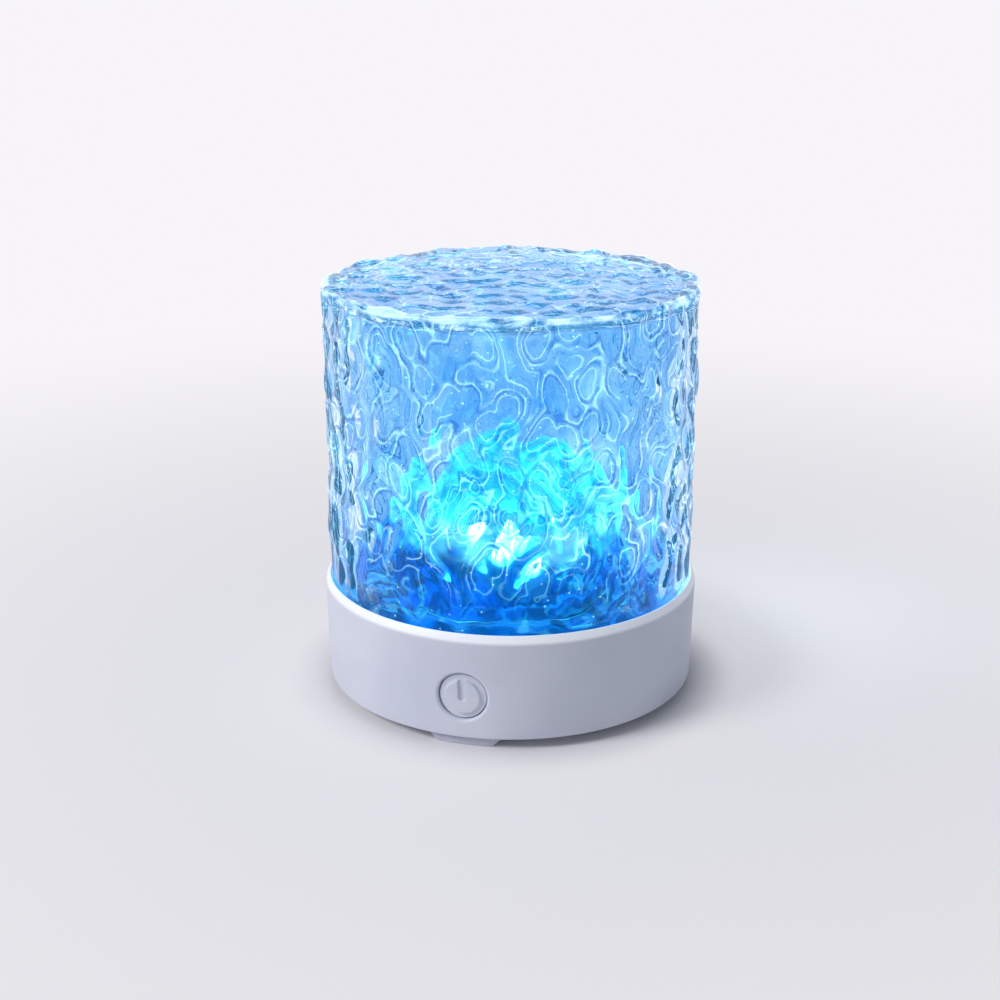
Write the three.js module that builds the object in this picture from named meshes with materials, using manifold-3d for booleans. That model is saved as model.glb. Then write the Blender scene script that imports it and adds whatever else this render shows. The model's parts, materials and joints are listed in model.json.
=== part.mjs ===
// A water wave effect lamp: a clear rippled shade on a round white base. In the shade a rippled dome
// turns slowly over four LEDs, so that the light on the walls moves as it does under water.
// Units are millimetres and +Z is up. The origin is on the table under the middle, and the button faces -Y.

import * as THREE from "three";
import { mergeVertices, toCreasedNormals } from "three/addons/utils/BufferGeometryUtils.js";
import Module from "manifold-3d";

// Gaps
const SEAT_GAP = 0.3; // between a piece and the recess that it sits in
const RUN_GAP = 0.3; // between a piece that turns and what carries it
const SHAFT_GAP = 0.12; // all round a shaft in its hole
const SCREW_GAP = 0.15; // all round a screw in its hole
const OVERRUN = 1; // how far a cut runs past the face that it opens

// Base shell
const BASE_DIAMETER = 96; // at the lower edge of the rim's chamfer
const BASE_LEAN = 0.6; // how far the wall draws in from there to its bottom edge
const BASE_WALL = 2.2;
const BASE_WALL_HEIGHT = 25;
const BASE_EDGE = 0.5; // the small bevel round the bottom edge
const RIM_CHAMFER_HEIGHT = 1.9;
const RIM_CHAMFER_WIDTH = 1;
const RIM_LAND = 0.3; // the flat ring between the chamfer and the shade
const LEDGE_WIDTH = 3.5; // the ring inside the wall that the deck lies on
const LEDGE_THICKNESS = 2;
const BOSS_RADIUS = 3.2; // the posts that take the deck's and the cover's screws
const BOSS_INSET = 5.7; // from the inside of the wall to a post's middle
const BOSS_RIB = 1.6;
const BOSS_COUNT = 4;

// Bottom cover and feet
const COVER_THICKNESS = 2.4;
const COVER_REBATE = 1.2; // how far it reaches into the wall, from the inside
const LABEL_RADIUS = 23; // the shallow bare recess in the middle of the underside
const LABEL_DEPTH = 0.4;
const FOOT_HEIGHT = 2.6;
const FOOT_WIDTH = 3.9; // across, from the middle of the lamp outwards
const FOOT_INSET = 0.1; // from the cover's edge
const FOOT_SPAN = 24; // degrees round the base, where it joins the cover
const FOOT_SLOPE = 3.2; // degrees that each end leans in by, down to the table
const FOOT_COUNT = 3;

// Shade
const SHADE_WALL = 3;
const SHADE_TOP_WALL = 3.2;
const SHADE_RISE = 75.3; // from the top of the rim to the middle of the top's ripples
const SHADE_SKIRT = 4.7; // how deep the shade stands in the rim
const SHADE_PLAIN = 0.6; // the band above the rim without ripples
const SHADE_CORNER = 1.4;
const RIPPLE_HEIGHT = 0.8; // to either side of the surface's middle
const CELL_PITCH = 7.6; // from the middle of one hollow to the next, across
const CELL_RISE = 11.4; // and upwards
const CELL_LOW = 1.8; // softened distance from the middle of a hollow where its bottom ends
const CELL_HIGH = 5.6; // the same distance on the crests
const CELL_ROUNDING = 1.7; // how round the bottom of a hollow is
const CELL_EDGE = 0.67; // how soft the crests are
const BEND = 1.1; // how far the crests wander
const BEND_WAVE = 3;
const scatterShare = 0.84; // of a pitch, over which the hollows' middles are scattered
const WAVE_PITCH = 14; // of the long waves under the hollows, from crest to crest across
const WAVE_RISE = 21; // and upwards
const waveShare = 0.35; // of the ripples' height
const GASKET_THICKNESS = 0.8;
const GASKET_WIDTH = 2.6;

// Deck, the floor of the shade
const DECK_THICKNESS = 2;
const WIRE_HOLE = 3.5;
const COLLAR_WALL = 1.2; // the low round wall that the rotor turns in
const COLLAR_HEIGHT = 1.9;

// Drive
const RING_TEETH = 52;
const PINION_TEETH = 10;
const PRESSURE_ANGLE = 20;
const BACKLASH = 0.15; // taken off each tooth's thickness
const GEAR_FACE = 5;
const ROOT_ROOM = 0.2; // between a tooth's tip and the other gear's root
const shortToothShare = 0.6; // of the module, so that the ring's teeth pass the pinion's roots
const RING_WALL = 2.4; // behind the ring's teeth
const FLANGE_WIDTH = 5;
const FLANGE_THICKNESS = 1.4;
const SLIP_THICKNESS = 0.7; // the washer that the rotor's flange slides on
const SLIP_WIDTH = 3.7;
const PINION_DROP = 0.3; // how far the pinion reaches below the ring
const SHAFT_RADIUS = 1.5;
const SHAFT_TIP = 1; // above the pinion
const SHAFT_BURIED = 5; // in the motor
const MOTOR_RADIUS = 12;
const MOTOR_HEIGHT = 9.6;
const MOTOR_PLATE = 1;
const MOTOR_EAR = 3.4; // radius of the plate's ears
const MOTOR_EAR_ROOM = 1; // between the can and the head of an ear's screw
const MOTOR_BOSS_RADIUS = 3.4;
const MOTOR_BOSS_HEIGHT = 1.6;
const TERMINAL_LENGTH = 1.8;
const TERMINAL_WIDTH = 1.6;
const TERMINAL_THICKNESS = 0.5;
const TERMINAL_SPACING = 5;

// Retainers that hold the rotor down
const RETAINER_WIDTH = 8;
const RETAINER_THICKNESS = 1.4;
const RETAINER_BITE = 1.6; // how far they reach over the flange
const RETAINER_FOOT = 5;
const RETAINER_COUNT = 3;
const RETAINER_ROOM = 2; // from their feet to the shade

// Rippled dome
const DOME_WALL = 2;
const DOME_STRAIGHT = 11;
const DOME_CAP = 26;
const DOME_RIPPLE_HEIGHT = 0.5;

// Lamp cup and LEDs
const CUP_FOOT_RADIUS = 10.6;
const CUP_RADIUS = 14.6;
const CUP_HEIGHT = 9.2;
const CUP_LIP = 1; // how far its wall stands above the board
const LED_BOARD_RADIUS = 12.4;
const LED_BOARD_THICKNESS = 1.6;
const LED_SIZE = 5;
const LED_BODY = 1.6;
const LED_DOME = 2.1;
const LED_SPACING = 7.6;
const LED_SCREW_REACH = 9.4;
const CUP_SCREW_REACH = 7.2;

// Main board and what is on it
const BOARD_THICKNESS = 1.6;
const BOARD_LIFT = 3.2; // the posts under it
const BOARD_WIDTH = 34;
const BOARD_LENGTH = 68;
const BOARD_POST_RADIUS = 2.8;
const BOARD_POST_INSET = 3.6;
const FRONT_TONGUE = 12; // width of the board where it runs out to the switch
const REAR_TONGUE = 15; // width where it runs out to the socket
const REAR_TONGUE_GAP = 1.7; // from its end to the inside of the wall
const CHIP_WIDTH = 6;
const CHIP_DEPTH = 5;
const CHIP_HEIGHT = 1.5;
const CAPACITOR_RADIUS = 3.15;
const CAPACITOR_HEIGHT = 7;
const CAPACITOR_SKIRT = 0.8;
const CONNECTOR_DEPTH = 5.6;
const CONNECTOR_HEIGHT = 4.8;
const CONNECTOR_WALL = 0.7;
const CONNECTOR_FLOOR = 1.4;
const MOTOR_CONNECTOR_WIDTH = 6;
const LED_CONNECTOR_WIDTH = 9;

// Button and switch
const BUTTON_RISE = 10.7; // of its middle, above the shell's bottom edge
const BUTTON_DIAMETER = 12.2; // of the opening
const BUTTON_GAP = 0.2;
const BUTTON_PLATEAU = 8.7; // diameter of the raised middle
const BUTTON_STEP = 0.7; // from the plateau down to the ring round it
const BUTTON_BAR_WIDTH = 2;
const BUTTON_BAR_LENGTH = 4.9;
const BUTTON_SINK = 0.15; // the plateau lies this far inside the wall's face
const BUTTON_FLANGE = 1; // how far the flange reaches past the opening
const BUTTON_FLANGE_THICKNESS = 1.2;
const BUTTON_STEM_RADIUS = 2;
const BUTTON_STEM = 1.5;
const BUTTON_TRAVEL = 0.5;
const SWITCH_WIDTH = 6.2;
const SWITCH_DEPTH = 4;
const SWITCH_TOP = 3.3; // above the plunger's axis
const PLUNGER_RADIUS = 1.7;
const PLUNGER_REACH = 1.4; // out of the switch
const PLUNGER_BURIED = 1.2;

// USB-C socket
const SOCKET_WIDTH = 8.94;
const SOCKET_HEIGHT = 3.26;
const SOCKET_DEPTH = 7.3;
const SOCKET_WALL = 0.4;
const SOCKET_BACK = 1.2;
const SOCKET_TONGUE_WIDTH = 6.7;
const SOCKET_TONGUE_THICKNESS = 0.7;
const SOCKET_TONGUE_SHORT = 1.2; // the tongue ends this far inside the mouth
const SOCKET_OPENING_ROOM = 0.7; // round the socket, in the shell's wall

// Screws
const SCREW_RADIUS = 1.25;
const SCREW_HEAD_RADIUS = 2.4;
const SCREW_HEAD_HEIGHT = 1.3;
const SCREW_LENGTH = 6;
const SMALL_SCREW_LENGTH = 2.7;
const CROSS_WIDTH = 0.7;
const CROSS_LENGTH = 2.4;
const CROSS_DEPTH = 0.7;

// Wires
const WIRE_RADIUS = 0.6;
const RIBBON_WIRE = 1.1; // each core of the flat cable
const RIBBON_CORES = 4;

// Facets
const WIDE_FACETS = 64; // round the base
const SHADE_FACETS = 100;
const ROTOR_FACETS = 40;
const ROUND_FACETS = 20;
const SMALL_FACETS = 10;
const SCREW_FACETS = 8;
const BUTTON_FACE_FACETS = 256; // round the whole base, so that the button's face has a few
const SHADE_ROWS = 28;
const SHADE_TOP_ROWS = 14;
const DOME_ROWS = 7;
const DOME_INSIDE_ROWS = 4;
const CUP_ROWS = 5;
const BEAD_ROWS = 3;
const CORNER_STEPS = 2;
const FOOT_STEPS = 6;
const LEAD_STEPS = 20;
const LEAD_SIDES = 8;
const RIBBON_STEPS = 20;
const CREASE = Math.PI / 5;
const chanceStep = 12.9898;
const chanceSpread = 43758.5453;
const MERGE = 1e-3;

// Levels
const baseBottom = FOOT_HEIGHT;
const chamferLow = baseBottom + BASE_WALL_HEIGHT;
const rimTop = chamferLow + RIM_CHAMFER_HEIGHT;
const skirtBottom = rimTop - SHADE_SKIRT;
const deckTop = skirtBottom - GASKET_THICKNESS;
const deckBottom = deckTop - DECK_THICKNESS;
const coverTop = baseBottom + COVER_THICKNESS;
const boardBottom = coverTop + BOARD_LIFT;
const boardTop = boardBottom + BOARD_THICKNESS;
const slipTop = deckTop + SLIP_THICKNESS;
const ringBottom = slipTop + RUN_GAP;
const flangeTop = ringBottom + FLANGE_THICKNESS;
const cupTop = deckTop + CUP_HEIGHT;
const ledBoardTop = cupTop - CUP_LIP;
const ledBoardBottom = ledBoardTop - LED_BOARD_THICKNESS;
const buttonHeight = baseBottom + BUTTON_RISE;

// Radii
const rimRadius = BASE_DIAMETER / 2;
const bottomRadius = rimRadius - BASE_LEAN;
const innerRadius = bottomRadius - BASE_WALL;
const coverRadius = innerRadius + COVER_REBATE - SEAT_GAP;
const seatRadius = rimRadius - RIM_CHAMFER_WIDTH - RIM_LAND;
const ledgeRadius = seatRadius - LEDGE_WIDTH;
const shadeRadius = seatRadius - SEAT_GAP;
const bossReach = innerRadius - BOSS_INSET;
const screwHole = SCREW_RADIUS + SCREW_GAP;
const headHole = SCREW_HEAD_RADIUS + SEAT_GAP;
const headSeat = SCREW_HEAD_HEIGHT + SEAT_GAP; // how deep a sunk head's recess is
const retainerOuter = shadeRadius - SHADE_WALL - RETAINER_ROOM;
const retainerStep = retainerOuter - RETAINER_FOOT;
const collarOuter = retainerStep - RUN_GAP;
const collarInner = collarOuter - COLLAR_WALL;
const flangeRadius = collarInner - RUN_GAP;
const ringOuter = flangeRadius - FLANGE_WIDTH;
const ringRoot = ringOuter - RING_WALL;
const ringPitch = ((ringRoot - ROOT_ROOM) * RING_TEETH) / (RING_TEETH + 2);
const gearModule = (2 * ringPitch) / RING_TEETH;
const pinionPitch = (gearModule * PINION_TEETH) / 2;
const shaftReach = ringPitch - pinionPitch; // from the lamp's axis to the motor's
const pinionTip = pinionPitch + gearModule;
const pinionRoot = pinionPitch - shortToothShare * gearModule - ROOT_ROOM;
const ringTip = ringPitch - shortToothShare * gearModule;
const motorEarReach = MOTOR_RADIUS + MOTOR_EAR_ROOM + SCREW_HEAD_RADIUS;
const domeInner = ringOuter + SEAT_GAP;
const domeRadius = domeInner + DOME_WALL;

// Button and switch, from the wall inwards, along -Y
const wallAtButton = bottomRadius + (BASE_LEAN * BUTTON_RISE) / BASE_WALL_HEIGHT;
const buttonFront = -(wallAtButton - BUTTON_SINK);
const flangeRim = BUTTON_DIAMETER / 2 + BUTTON_FLANGE;
const flangeFront = -(Math.sqrt(innerRadius ** 2 - flangeRim ** 2) - SEAT_GAP);
const flangeBack = flangeFront + BUTTON_FLANGE_THICKNESS;
const stemEnd = flangeBack + BUTTON_STEM;
const plungerFront = stemEnd + SEAT_GAP;
const switchFront = plungerFront + PLUNGER_REACH;
const switchBack = switchFront + SWITCH_DEPTH;

// Socket, from the wall inwards, along +Y
const socketFront = innerRadius - 2 * SEAT_GAP;
const socketMiddle = boardTop + SOCKET_HEIGHT / 2;

const wasm = await Module();
wasm.setup();

// Shapes

const turn = (degrees) => THREE.MathUtils.degToRad(degrees);

/** A closed geometry as a solid that can be joined and cut. */
function solid(geometry) {
  const source = geometry.index ? geometry.toNonIndexed() : geometry;
  const bare = new THREE.BufferGeometry().setAttribute("position", source.getAttribute("position"));
  const merged = mergeVertices(bare, MERGE);
  return new wasm.Manifold(
    new wasm.Mesh({
      numProp: 3,
      vertProperties: merged.attributes.position.array,
      triVerts: merged.index.array,
    }),
  );
}

/** A solid back as a geometry, smooth over its round faces. */
function geometryOf(made) {
  const mesh = made.getMesh();
  const geometry = new THREE.BufferGeometry();
  geometry.setAttribute("position", new THREE.BufferAttribute(mesh.vertProperties, 3));
  geometry.setIndex(new THREE.BufferAttribute(mesh.triVerts, 1));
  return toCreasedNormals(geometry, CREASE);
}

/** The body joined to each of added, less each of cut. All are geometries. */
function carve(body, added, cut) {
  let made = solid(body);
  for (const piece of added) made = made.add(solid(piece));
  for (const piece of cut) made = made.subtract(solid(piece));
  return geometryOf(made);
}

/** A turned piece about Z, from the [radius, height] corners round its section, in either order. */
function turned(corners, facets) {
  const next = (i) => corners[(i + 1) % corners.length];
  const area = corners.reduce((sum, [r, z], i) => sum + r * next(i)[1] - next(i)[0] * z, 0);
  const ordered = area < 0 ? [...corners].reverse() : [...corners];
  const onAxis = ordered.findIndex(([r], i) => r === 0 && ordered[(i + 1) % ordered.length][0] > 0);
  const start = Math.max(onAxis, 0);
  const points = ordered.map((_, i) => ordered[(i + start) % ordered.length]);
  if (onAxis < 0) points.push(points[0]);
  return new THREE.LatheGeometry(
    points.map(([r, z]) => new THREE.Vector2(r, z)),
    facets,
  ).rotateX(Math.PI / 2);
}

/** A round rod or hole about Z. */
function rod(radius, low, high, facets = SMALL_FACETS) {
  const corners = [
    [0, low],
    [radius, low],
    [radius, high],
    [0, high],
  ];
  return turned(corners, facets);
}

/** A flat ring about Z. */
function washer(inner, outer, low, high, facets) {
  const corners = [
    [inner, low],
    [outer, low],
    [outer, high],
    [inner, high],
  ];
  return turned(corners, facets);
}

/** A box from its lowest and highest corner. */
function block(low, high) {
  const size = high.map((value, i) => value - low[i]);
  const middle = high.map((value, i) => (value + low[i]) / 2);
  return new THREE.BoxGeometry(...size).translate(...middle);
}

/** An outline of [x, y] corners, raised from low to high. */
function slab(corners, low, high, holes = []) {
  const shape = new THREE.Shape(corners.map(([x, y]) => new THREE.Vector2(x, y)));
  shape.holes = holes.map((hole) => new THREE.Path(hole.map(([x, y]) => new THREE.Vector2(x, y))));
  const options = { depth: high - low, bevelEnabled: false };
  return new THREE.ExtrudeGeometry(shape, options).translate(0, 0, low);
}

/** The corners of a circle. */
function circle(radius, facets, x = 0, y = 0) {
  return Array.from({ length: facets }, (_, i) => {
    const angle = (2 * Math.PI * i) / facets;
    return [x + radius * Math.cos(angle), y + radius * Math.sin(angle)];
  });
}

/** The corners of a rectangle with round ends, wide along X. */
function stadium(width, height) {
  const radius = height / 2;
  const middle = width / 2 - radius;
  return Array.from({ length: ROUND_FACETS }, (_, i) => {
    const side = i < ROUND_FACETS / 2 ? 1 : -1;
    const along = (i % (ROUND_FACETS / 2)) / (ROUND_FACETS / 2 - 1);
    const angle = Math.PI * along - (side * Math.PI) / 2;
    const x = side * middle + radius * Math.cos(angle);
    return [x, radius * Math.sin(angle)];
  });
}

/** Copies of a geometry turned evenly about Z, the first at an angle in degrees from -Y. */
function around(geometry, count, first = 0) {
  return Array.from({ length: count }, (_, i) =>
    geometry.clone().rotateZ(turn(first + (360 * i) / count)),
  );
}

/** Long waves in a cast surface, from -1 to 1. */
function wave({ x, y, z }) {
  const turns = [x / WAVE_PITCH, y / WAVE_PITCH, z / WAVE_RISE];
  const [u, v, w] = turns.map((count) => 2 * Math.PI * count);
  return (Math.cos(u + Math.sin(w)) + Math.cos(v + Math.sin(u)) + Math.cos(w + Math.sin(v))) / 3;
}

/** Numbers from -1/2 to 1/2 that look random, and are the same each time. */
function makeChance() {
  let count = 0;
  return () => {
    count += 1;
    const value = Math.sin(count * chanceStep) * chanceSpread;
    return value - Math.floor(value) - 1 / 2;
  };
}

/** The middles of the hollows cast in the shade: staggered rows round its wall, then rows over its top. */
function hollowPlaces(radius, low, high) {
  const chance = makeChance();
  const places = [];
  const rows = Math.round((high - low) / CELL_RISE);
  const count = Math.round((2 * Math.PI * radius) / CELL_PITCH);
  for (let row = 0; row < rows; row++) {
    for (let i = 0; i < count; i++) {
      const angle = ((i + (row % 2) / 2 + scatterShare * chance()) * 2 * Math.PI) / count;
      const z = low + ((row + 1 / 2 + scatterShare * chance()) * (high - low)) / rows;
      places.push([radius * Math.sin(angle), -radius * Math.cos(angle), z]);
    }
  }
  const across = Math.round((2 * radius) / CELL_PITCH);
  for (let row = 0; row <= across; row++) {
    for (let i = 0; i <= across; i++) {
      const x = (i + (row % 2) / 2 + scatterShare * chance()) * CELL_PITCH - radius;
      const y = (row + scatterShare * chance()) * CELL_PITCH - radius;
      if (Math.hypot(x, y) < radius - CELL_PITCH / 3) places.push([x, y, high]);
    }
  }
  return places;
}

/** How high a surface with these hollows stands at a point, from -1 in a hollow to 1 on the crests. */
function crest(point, places) {
  const tall = CELL_RISE / CELL_PITCH;
  const [u, v, w] = [point.x, point.y, point.z / tall].map((length) => length / BEND_WAVE);
  const x = point.x + BEND * Math.sin(v + w);
  const y = point.y + BEND * Math.sin(w + u);
  const z = point.z + BEND * Math.sin(u + v);
  const sum = places.reduce((total, [a, b, c]) => {
    const away = Math.hypot(x - a, y - b, (z - c) / tall, CELL_ROUNDING);
    return total + Math.exp(-away / CELL_EDGE);
  }, 0);
  const reach = -Math.log(sum) * CELL_EDGE;
  return THREE.MathUtils.clamp(THREE.MathUtils.mapLinear(reach, CELL_LOW, CELL_HIGH, -1, 1), -1, 1);
}

/** Moves the points of a turned geometry along its normals by a relief that fades to nothing at low. */
function rippled(geometry, low, fade, isOuter, relief) {
  const position = geometry.getAttribute("position");
  const normal = geometry.getAttribute("normal");
  for (let i = 0; i < position.count; i++) {
    const point = new THREE.Vector3().fromBufferAttribute(position, i);
    if (!isOuter(Math.hypot(point.x, point.y), point.z)) continue;
    const share = THREE.MathUtils.clamp((point.z - low) / fade, 0, 1);
    const isPole = Math.hypot(point.x, point.y) < MERGE;
    const out = isPole ? new THREE.Vector3(0, 0, 1) : new THREE.Vector3().fromBufferAttribute(normal, i);
    point.addScaledVector(out, share * relief(point));
    position.setXYZ(i, point.x, point.y, point.z);
  }
  return geometry;
}

/** The corners of a quarter of an ellipse, from its side up to its top, without the first. */
function quarter(radius, height, x, z, steps) {
  return Array.from({ length: steps }, (_, i) => {
    const angle = (Math.PI / 2) * ((i + 1) / steps);
    const isTop = i === steps - 1;
    return [x + (isTop ? 0 : radius * Math.cos(angle)), z + height * Math.sin(angle)];
  });
}

/** A gear's outline, a tooth at angle 0. With a ring gear's sizes it is the outline of the ring's hole. */
function gearOutline(teeth, root, tip, thickness) {
  const pitch = (gearModule * teeth) / 2;
  const base = pitch * Math.cos(turn(PRESSURE_ANGLE));
  const involute = (radius) => {
    const angle = Math.acos(Math.min(1, base / radius));
    return Math.tan(angle) - angle;
  };
  const halfAngle = (radius) => thickness / (2 * pitch) + involute(pitch) - involute(radius);
  const flank = [root, tip].map((radius) => [radius, halfAngle(radius)]);
  const tooth = [...flank.map(([radius, angle]) => [radius, -angle]), ...flank.reverse()];
  return Array.from({ length: teeth }, (_, i) =>
    tooth.map(([radius, angle]) => {
      const at = angle + (2 * Math.PI * i) / teeth;
      return [radius * Math.cos(at), radius * Math.sin(at)];
    }),
  ).flat();
}

/** A cross-recess screw with its head up, standing in its hole from the plane z = 0 down. */
function screw(length) {
  const corners = [
    [0, -length],
    [SCREW_RADIUS, -length],
    [SCREW_RADIUS, 0],
    [SCREW_HEAD_RADIUS, 0],
    [SCREW_HEAD_RADIUS, SCREW_HEAD_HEIGHT / 2],
    [SCREW_HEAD_RADIUS - SCREW_HEAD_HEIGHT / 2, SCREW_HEAD_HEIGHT],
    [0, SCREW_HEAD_HEIGHT],
  ];
  const low = SCREW_HEAD_HEIGHT - CROSS_DEPTH;
  const high = SCREW_HEAD_HEIGHT + OVERRUN;
  const slots = [
    [CROSS_LENGTH, CROSS_WIDTH],
    [CROSS_WIDTH, CROSS_LENGTH],
  ].map(([x, y]) => block([-x / 2, -y / 2, low], [x / 2, y / 2, high]));
  return carve(turned(corners, SCREW_FACETS), [], slots);
}

/** A tube along a smooth curve through points, of a section of [x, y] corners. */
function tube(points, section, steps) {
  const path = new THREE.CatmullRomCurve3(points.map((p) => new THREE.Vector3(...p)));
  const shape = new THREE.Shape(section.map(([x, y]) => new THREE.Vector2(x, y)));
  return new THREE.ExtrudeGeometry(shape, { steps, extrudePath: path, bevelEnabled: false });
}

// Materials

function material(color, roughness, metalness = 0, opacity = 1) {
  const settings = { color, roughness, metalness, opacity, transparent: opacity < 1 };
  return new THREE.MeshStandardMaterial(settings);
}

const clearBlue = material(0xbfe2ff, 0.05, 0, 0.35);
const domeCyan = material(0x7fe9ff, 0.08, 0, 0.45);
const whiteShell = material(0xe4e4ee, 0.45);
const deckBlue = material(0x2f7fe6, 0.3);
const greyPad = material(0xb9bdcb, 0.7);
const nylon = material(0xcfe4f5, 0.4);
const steel = material(0xb9bcc2, 0.3, 1);
const boardGreen = material(0x1c6b46, 0.5);
const boardWhite = material(0xe9f2f7, 0.5);
const ledLens = material(0xd8fbff, 0.1);
const black = material(0x1c1d20, 0.5);
const cream = material(0xe8e2cf, 0.5);
const wireRed = material(0xb3221f, 0.5);
const wireBlack = material(0x202124, 0.5);
const ribbonGrey = material(0x8f96a3, 0.55);

// The lamp

const lamp = new THREE.Group();
lamp.name = "water_wave_lamp";

function add(name, geometry, look, place = [0, 0, 0], parent = lamp) {
  const mesh = new THREE.Mesh(geometry, look);
  mesh.name = name;
  mesh.position.set(...place);
  parent.add(mesh);
  return mesh;
}

/** The white ring, with a chamfered rim, a ledge, screw posts and openings for the button and the socket. */
function makeBaseShell() {
  const ledgeBottom = deckBottom - LEDGE_THICKNESS;
  const corners = [
    [innerRadius, coverTop],
    [innerRadius + COVER_REBATE, coverTop],
    [innerRadius + COVER_REBATE, baseBottom],
    [bottomRadius - BASE_EDGE, baseBottom],
    [bottomRadius, baseBottom + BASE_EDGE],
    [rimRadius, chamferLow],
    [seatRadius + RIM_LAND, rimTop],
    [seatRadius, rimTop],
    [seatRadius, deckBottom],
    [ledgeRadius, deckBottom],
    [ledgeRadius, ledgeBottom],
    [innerRadius, ledgeBottom - (innerRadius - ledgeRadius)],
  ];
  const post = rod(BOSS_RADIUS, coverTop, deckBottom, SMALL_FACETS).translate(0, -bossReach, 0);
  const rib = block(
    [-BOSS_RIB / 2, -(innerRadius + BASE_WALL / 2), coverTop],
    [BOSS_RIB / 2, -bossReach, deckBottom - LEDGE_THICKNESS / 2],
  );
  const pilot = rod(screwHole, coverTop - OVERRUN, deckBottom + OVERRUN);
  const pilots = around(pilot.translate(0, -bossReach, 0), BOSS_COUNT, 180 / BOSS_COUNT);
  const first = 180 / BOSS_COUNT;
  const opening = rod(BUTTON_DIAMETER / 2, 0, innerRadius, ROUND_FACETS)
    .rotateX(Math.PI / 2)
    .translate(0, -innerRadius / 2, buttonHeight);
  const room = alongY(flangeRim + SEAT_GAP, flangeFront - SEAT_GAP, plungerFront);
  const slotSize = [SOCKET_WIDTH, SOCKET_HEIGHT].map((size) => size + 2 * SOCKET_OPENING_ROOM);
  const slot = slab(stadium(...slotSize), 0, innerRadius)
    .rotateX(-Math.PI / 2)
    .translate(0, innerRadius / 2, socketMiddle);
  return carve(
    turned(corners, WIDE_FACETS),
    [...around(post, BOSS_COUNT, first), ...around(rib, BOSS_COUNT, first)],
    [...pilots, opening, room, slot],
  );
}

/** The round plate under the base, with sunk screw seats, a bare recess and the board's posts. */
function makeCover() {
  const seat = rod(headHole, baseBottom - OVERRUN, baseBottom + headSeat);
  const hole = rod(screwHole, baseBottom - OVERRUN, coverTop + OVERRUN);
  const cuts = [seat, hole].flatMap((cut) =>
    around(cut.translate(0, -bossReach, 0), BOSS_COUNT, 180 / BOSS_COUNT),
  );
  const label = rod(LABEL_RADIUS, baseBottom - OVERRUN, baseBottom + LABEL_DEPTH, ROTOR_FACETS);
  const posts = boardScrewPlaces().map(([x, y]) =>
    rod(BOARD_POST_RADIUS, coverTop - COVER_THICKNESS / 2, boardBottom).translate(x, y, 0),
  );
  const pilots = boardScrewPlaces().map(([x, y]) =>
    rod(screwHole, coverTop, boardBottom + OVERRUN).translate(x, y, 0),
  );
  return carve(
    rod(coverRadius, baseBottom, coverTop, WIDE_FACETS),
    posts,
    [...cuts, label, ...pilots],
  );
}

/** A foot pad at the front: an arc whose ends lean in towards the table. */
function makeFoot() {
  const outer = coverRadius - FOOT_INSET;
  const inner = outer - FOOT_WIDTH;
  const steps = FOOT_STEPS;
  const arc = (radius, span, z) =>
    Array.from({ length: steps + 1 }, (_, i) => {
      const angle = turn(span * (i / steps - 1 / 2));
      return [radius * Math.sin(angle), -radius * Math.cos(angle), z];
    });
  const rows = [
    arc(outer, FOOT_SPAN, baseBottom),
    arc(outer, FOOT_SPAN - 2 * FOOT_SLOPE, 0),
    arc(inner, FOOT_SPAN - 2 * FOOT_SLOPE, 0),
    arc(inner, FOOT_SPAN, baseBottom),
  ];
  const points = rows.flat(2);
  const at = (row, i) => (row % rows.length) * (steps + 1) + i;
  const faces = [];
  for (let row = 0; row < rows.length; row++)
    for (let i = 0; i < steps; i++) {
      faces.push(at(row, i), at(row + 1, i), at(row, i + 1));
      faces.push(at(row, i + 1), at(row + 1, i), at(row + 1, i + 1));
    }
  faces.push(at(0, 0), at(2, 0), at(1, 0), at(0, 0), at(3, 0), at(2, 0));
  faces.push(at(0, steps), at(1, steps), at(2, steps), at(0, steps), at(2, steps), at(3, steps));
  const geometry = new THREE.BufferGeometry();
  geometry.setAttribute("position", new THREE.Float32BufferAttribute(points, 3));
  geometry.setIndex(faces);
  return toCreasedNormals(geometry, CREASE);
}

/** The clear shade: an upturned cup whose wall and top are cast in ripples. */
function makeShade() {
  const inner = shadeRadius - SHADE_WALL;
  const plainTop = rimTop + SHADE_PLAIN;
  const top = rimTop + SHADE_RISE;
  const cornerLow = top - SHADE_CORNER;
  const rows = Array.from({ length: SHADE_ROWS }, (_, i) => {
    const share = i / (SHADE_ROWS - 1);
    return [shadeRadius, plainTop + (cornerLow - plainTop) * share];
  });
  const corner = quarter(SHADE_CORNER, SHADE_CORNER, shadeRadius - SHADE_CORNER, cornerLow, CORNER_STEPS);
  const across = Array.from({ length: SHADE_TOP_ROWS }, (_, i) => {
    const share = 1 - (i + 1) / SHADE_TOP_ROWS;
    return [(shadeRadius - SHADE_CORNER) * share, top];
  });
  const corners = [
    [0, top - SHADE_TOP_WALL],
    [inner, top - SHADE_TOP_WALL],
    [inner, skirtBottom],
    [shadeRadius, skirtBottom],
    ...rows,
    ...corner,
    ...across,
  ];
  const isOuter = (radius, z) => radius > inner + SHADE_WALL / 2 || z > top - SHADE_TOP_WALL / 2;
  const places = hollowPlaces(shadeRadius, rimTop, top);
  const relief = (point) => RIPPLE_HEIGHT * (crest(point, places) + waveShare * wave(point));
  return rippled(turned(corners, SHADE_FACETS), plainTop, SHADE_CORNER, isOuter, relief);
}

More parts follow.
